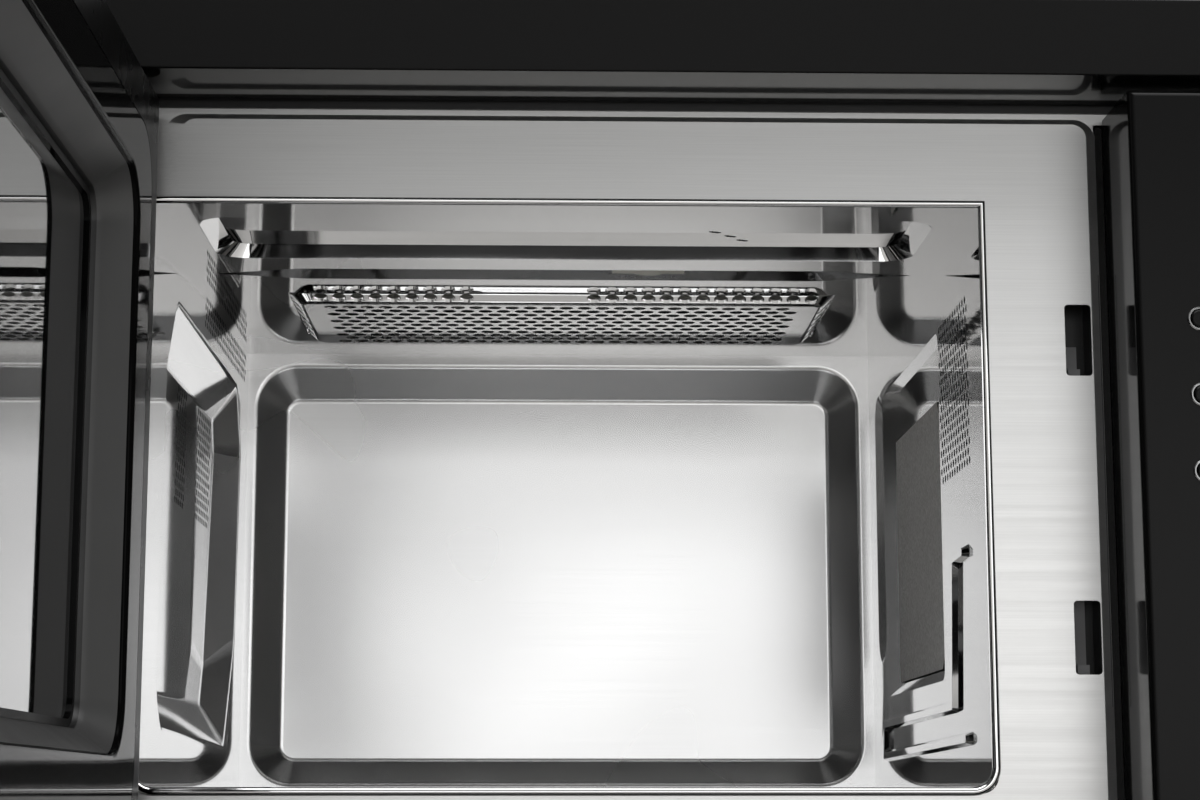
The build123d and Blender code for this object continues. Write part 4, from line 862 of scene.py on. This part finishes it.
# The control panel: a satin black moulding with a smoked window, a turned knob, three ringed
# push buttons and a wide key that opens the door.
def turned_aluminium():
    """Anodised aluminium from a lathe: fine rings that catch the light. They are drawn coarser than real."""
    made, tree, shader, place = finish("turned_anodised_aluminium", "#bdbdbe", 1.0, 0.3)
    middle = (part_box("selector_knob")[0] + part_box("selector_knob")[1]) / 2
    centred = add(tree, "ShaderNodeMapping", {"Location": -middle}, {"Vector": place})
    rings = add(tree, "ShaderNodeTexWave",
                {"wave_type": "RINGS", "rings_direction": "Y", "Scale": 1 / mm(2.4)},
                {"Vector": centred.outputs["Vector"]})
    tree.links.new(between(tree, rings.outputs["Fac"], 0.24, 0.36, 0, 1), shader.inputs["Roughness"])
    relief(tree, shader, rings.outputs["Fac"], mm(0.02))
    return made


# The panel's flanks are painted a little darker than its face, as painted shade.
panel_black = two_sided_mould("panel_moulding", "#101010", "#0a0a0a", 0.36, 0.09, 0.14)
dress(panel_black, "control_fascia", "door_release_button", "push_button_1", "push_button_2", "push_button_3")
dress(turned_aluminium(), "selector_knob")
dress(moulded("smoked_acrylic", "#0e0d0d", 0.08, 40, 0.1, 0.4), "display_window")
dress(plain_metal("dark_nickel_ring", "#8c8c8c", 0.16, 3), "button_rings")


# The door, standing open at a right angle: a black moulded casing with printed glass outside, and
# behind the window's tinted glass a folded pan and the punched sheet that keeps the microwaves in.
def tinted_glass():
    """Tinted window glass: black in itself, with a hard clear mirror on its face."""
    made, tree, shader, place = finish("tinted_window_glass", "#060707", 0.0, 0.02)
    shader.inputs["Coat Weight"].default_value = 1.0
    shader.inputs["Coat IOR"].default_value = 1.7
    shader.inputs["Specular IOR Level"].default_value = 0.8
    relief(tree, shader, grain(tree, place, mm(90), detail=0.0).outputs["Fac"], mm(0.03))
    return made


def printed_glass():
    """Glass printed black on its back: deep black under a clear gloss."""
    made, tree, shader, place = finish("back_printed_glass", "#050506", 0.0, 0.03)
    shader.inputs["Coat Weight"].default_value = 0.5
    relief(tree, shader, grain(tree, place, mm(120), detail=0.0).outputs["Fac"], mm(0.05))
    return made


dress(gloss_moulding("door_casing_moulding", "#0c0c0c", 0.28, 0.03), "door_casing")
dress(tinted_glass(), "door_inner_glass")
dress(printed_glass(), "door_outer_glass")
dress(plain_metal("folded_steel_pan", "#8d8f90", 0.4), "door_pan", "door_screen")
dress(grey_nylon, "door_latch")


# The door's inner frame: one black moulding over the microwave choke. Its border and rolled edge are
# polished, its slope is satin and painted a lighter grey as painted light, the step into the well is painted
# near black as painted shade, and a narrow matte ledge at its foot, painted a little lighter as painted
# light, holds the window.
def outline(x0, x1, z0, z1, y, corner):
    """A rectangle with round corners that stands upright, facing the cavity, in millimetres."""
    bpy.ops.object.select_all(action="DESELECT")
    bpy.ops.mesh.primitive_plane_add(size=1, location=(mm(x0 + x1) / 2, mm(y), mm(z0 + z1) / 2),
                                     rotation=(math.pi / 2, 0, 0))
    ring = bpy.context.object
    ring.scale = (mm(x1 - x0), mm(z1 - z0), 1)
    bpy.ops.object.transform_apply()
    bpy.ops.object.mode_set(mode="EDIT")
    bpy.ops.mesh.select_all(action="SELECT")
    bpy.ops.mesh.bevel(offset=mm(corner), segments=9, affect="VERTICES", clamp_overlap=False)
    bpy.ops.mesh.select_all(action="SELECT")
    bpy.ops.mesh.delete(type="ONLY_FACE")
    bpy.ops.object.mode_set(mode="OBJECT")
    return ring


def loft(outlines):
    """A skin through outlines that are alike: a wall joins each side of one to the same side of the next."""
    rings = [outline(*step) for step in outlines]
    sides = [tuple(edge.vertices) for edge in rings[0].data.edges]
    count = len(rings[0].data.vertices)
    places = [vertex.co.copy() for ring in rings for vertex in ring.data.vertices]
    walls = [(a + k * count, b + k * count, b + (k + 1) * count, a + (k + 1) * count)
             for k in range(len(rings) - 1) for a, b in sides]
    for ring in rings:
        bpy.data.objects.remove(ring)
    mesh = bpy.data.meshes.new("skin")
    mesh.from_pydata(places, [], walls)
    skin = bpy.data.objects.new("skin", mesh)
    bpy.context.scene.collection.objects.link(skin)
    return skin


def grown(box, by):
    """An outline's sides, moved outwards by a width in millimetres."""
    return box[0] - by, box[1] + by, box[2] - by, box[3] + by


swing = next(joint for joint in frame["joints"] if joint["name"] == "door_swing")
hinge = Vector(swing["pos_m"])
opened = Matrix.Translation(hinge) @ Matrix.Rotation(-math.pi / 2, 4, "Z") @ Matrix.Translation(-hinge)
inner_face_y = plate_y * 1000 - 1.5
border_box = (-276.3, 107.3, 60.2, 333.8)
border_corner = 24.8
border_ease = 0.4
rim_box = (-250.0, 61.0, 87.8, 311.5)
rim_corner = 21.0
rim_roll = 2.5
roll_steps = 4
slope_depth = 12.6
groove_foot_depth = 13.6
strip_depth = 15.0
well_depth = 17.0
window_inset = 12.5
window_corner = 9.0
frame_wall = 1.2
levels = [(border_box, 3.0, border_corner), (border_box, border_ease, border_corner),
          (grown(border_box, -border_ease), 0.0, border_corner - border_ease)]
for k in range(roll_steps + 1):
    turn = math.pi / 2 * k / roll_steps
    out = rim_roll * (1 - math.sin(turn))
    levels.append((grown(rim_box, out), rim_roll * (1 - math.cos(turn)), rim_corner + out))
for inset, depth in ((7.6, slope_depth), (7.9, groove_foot_depth), (9.0, strip_depth), (9.5, well_depth)):
    levels.append((grown(rim_box, -inset), depth, rim_corner - inset))
for depth in (well_depth, well_depth + frame_wall):
    levels.append((grown(rim_box, -window_inset), depth, window_corner))
door_frame = loft([(*box, inner_face_y - depth, corner) for box, depth, corner in levels])
face_outwards(door_frame)
border_face = max(door_frame.data.polygons, key=lambda face: face.center.y)
if border_face.normal.y < 0:
    door_frame.data.flip_normals()
apply_modifier(door_frame, "SOLIDIFY", thickness=mm(frame_wall), offset=-1)
smooth(door_frame, 28)
polished = gloss_moulding("polished_frame_border", "#0a0a0a", 0.05, 0.03)
keep(door_frame, "door_inner_frame", polished, "door", "black_gloss", "door_choke_cover")
# The moulding is one black: the slope's grey and the ledge's lighter black are painted light, the step's near
# black is painted shade.
door_frame.data.materials.append(moulded("satin_frame_slope_painted_light", "#4a4a4a", 0.38, 0.4, 0.004))
door_frame.data.materials.append(moulded("frame_step_painted_shade", "#050505", 0.4, 0.4, 0.004))
door_frame.data.materials.append(moulded("matte_window_ledge_painted_light", "#141414", 0.5, 0.4, 0.006))
painted_light_slope, painted_shade_step, painted_light_ledge = 1, 2, 3
roll_end = 4.0
ledge_start = well_depth - 0.5
for face in door_frame.data.polygons:
    depth = inner_face_y - face.center.y * 1000
    upright = abs(face.normal.y) < 0.3
    if roll_end < depth < strip_depth:
        face.material_index = painted_light_slope
    elif strip_depth <= depth < ledge_start:
        face.material_index = painted_shade_step
    elif depth >= ledge_start and not upright:
        face.material_index = painted_light_ledge
door_frame.data.transform(opened)
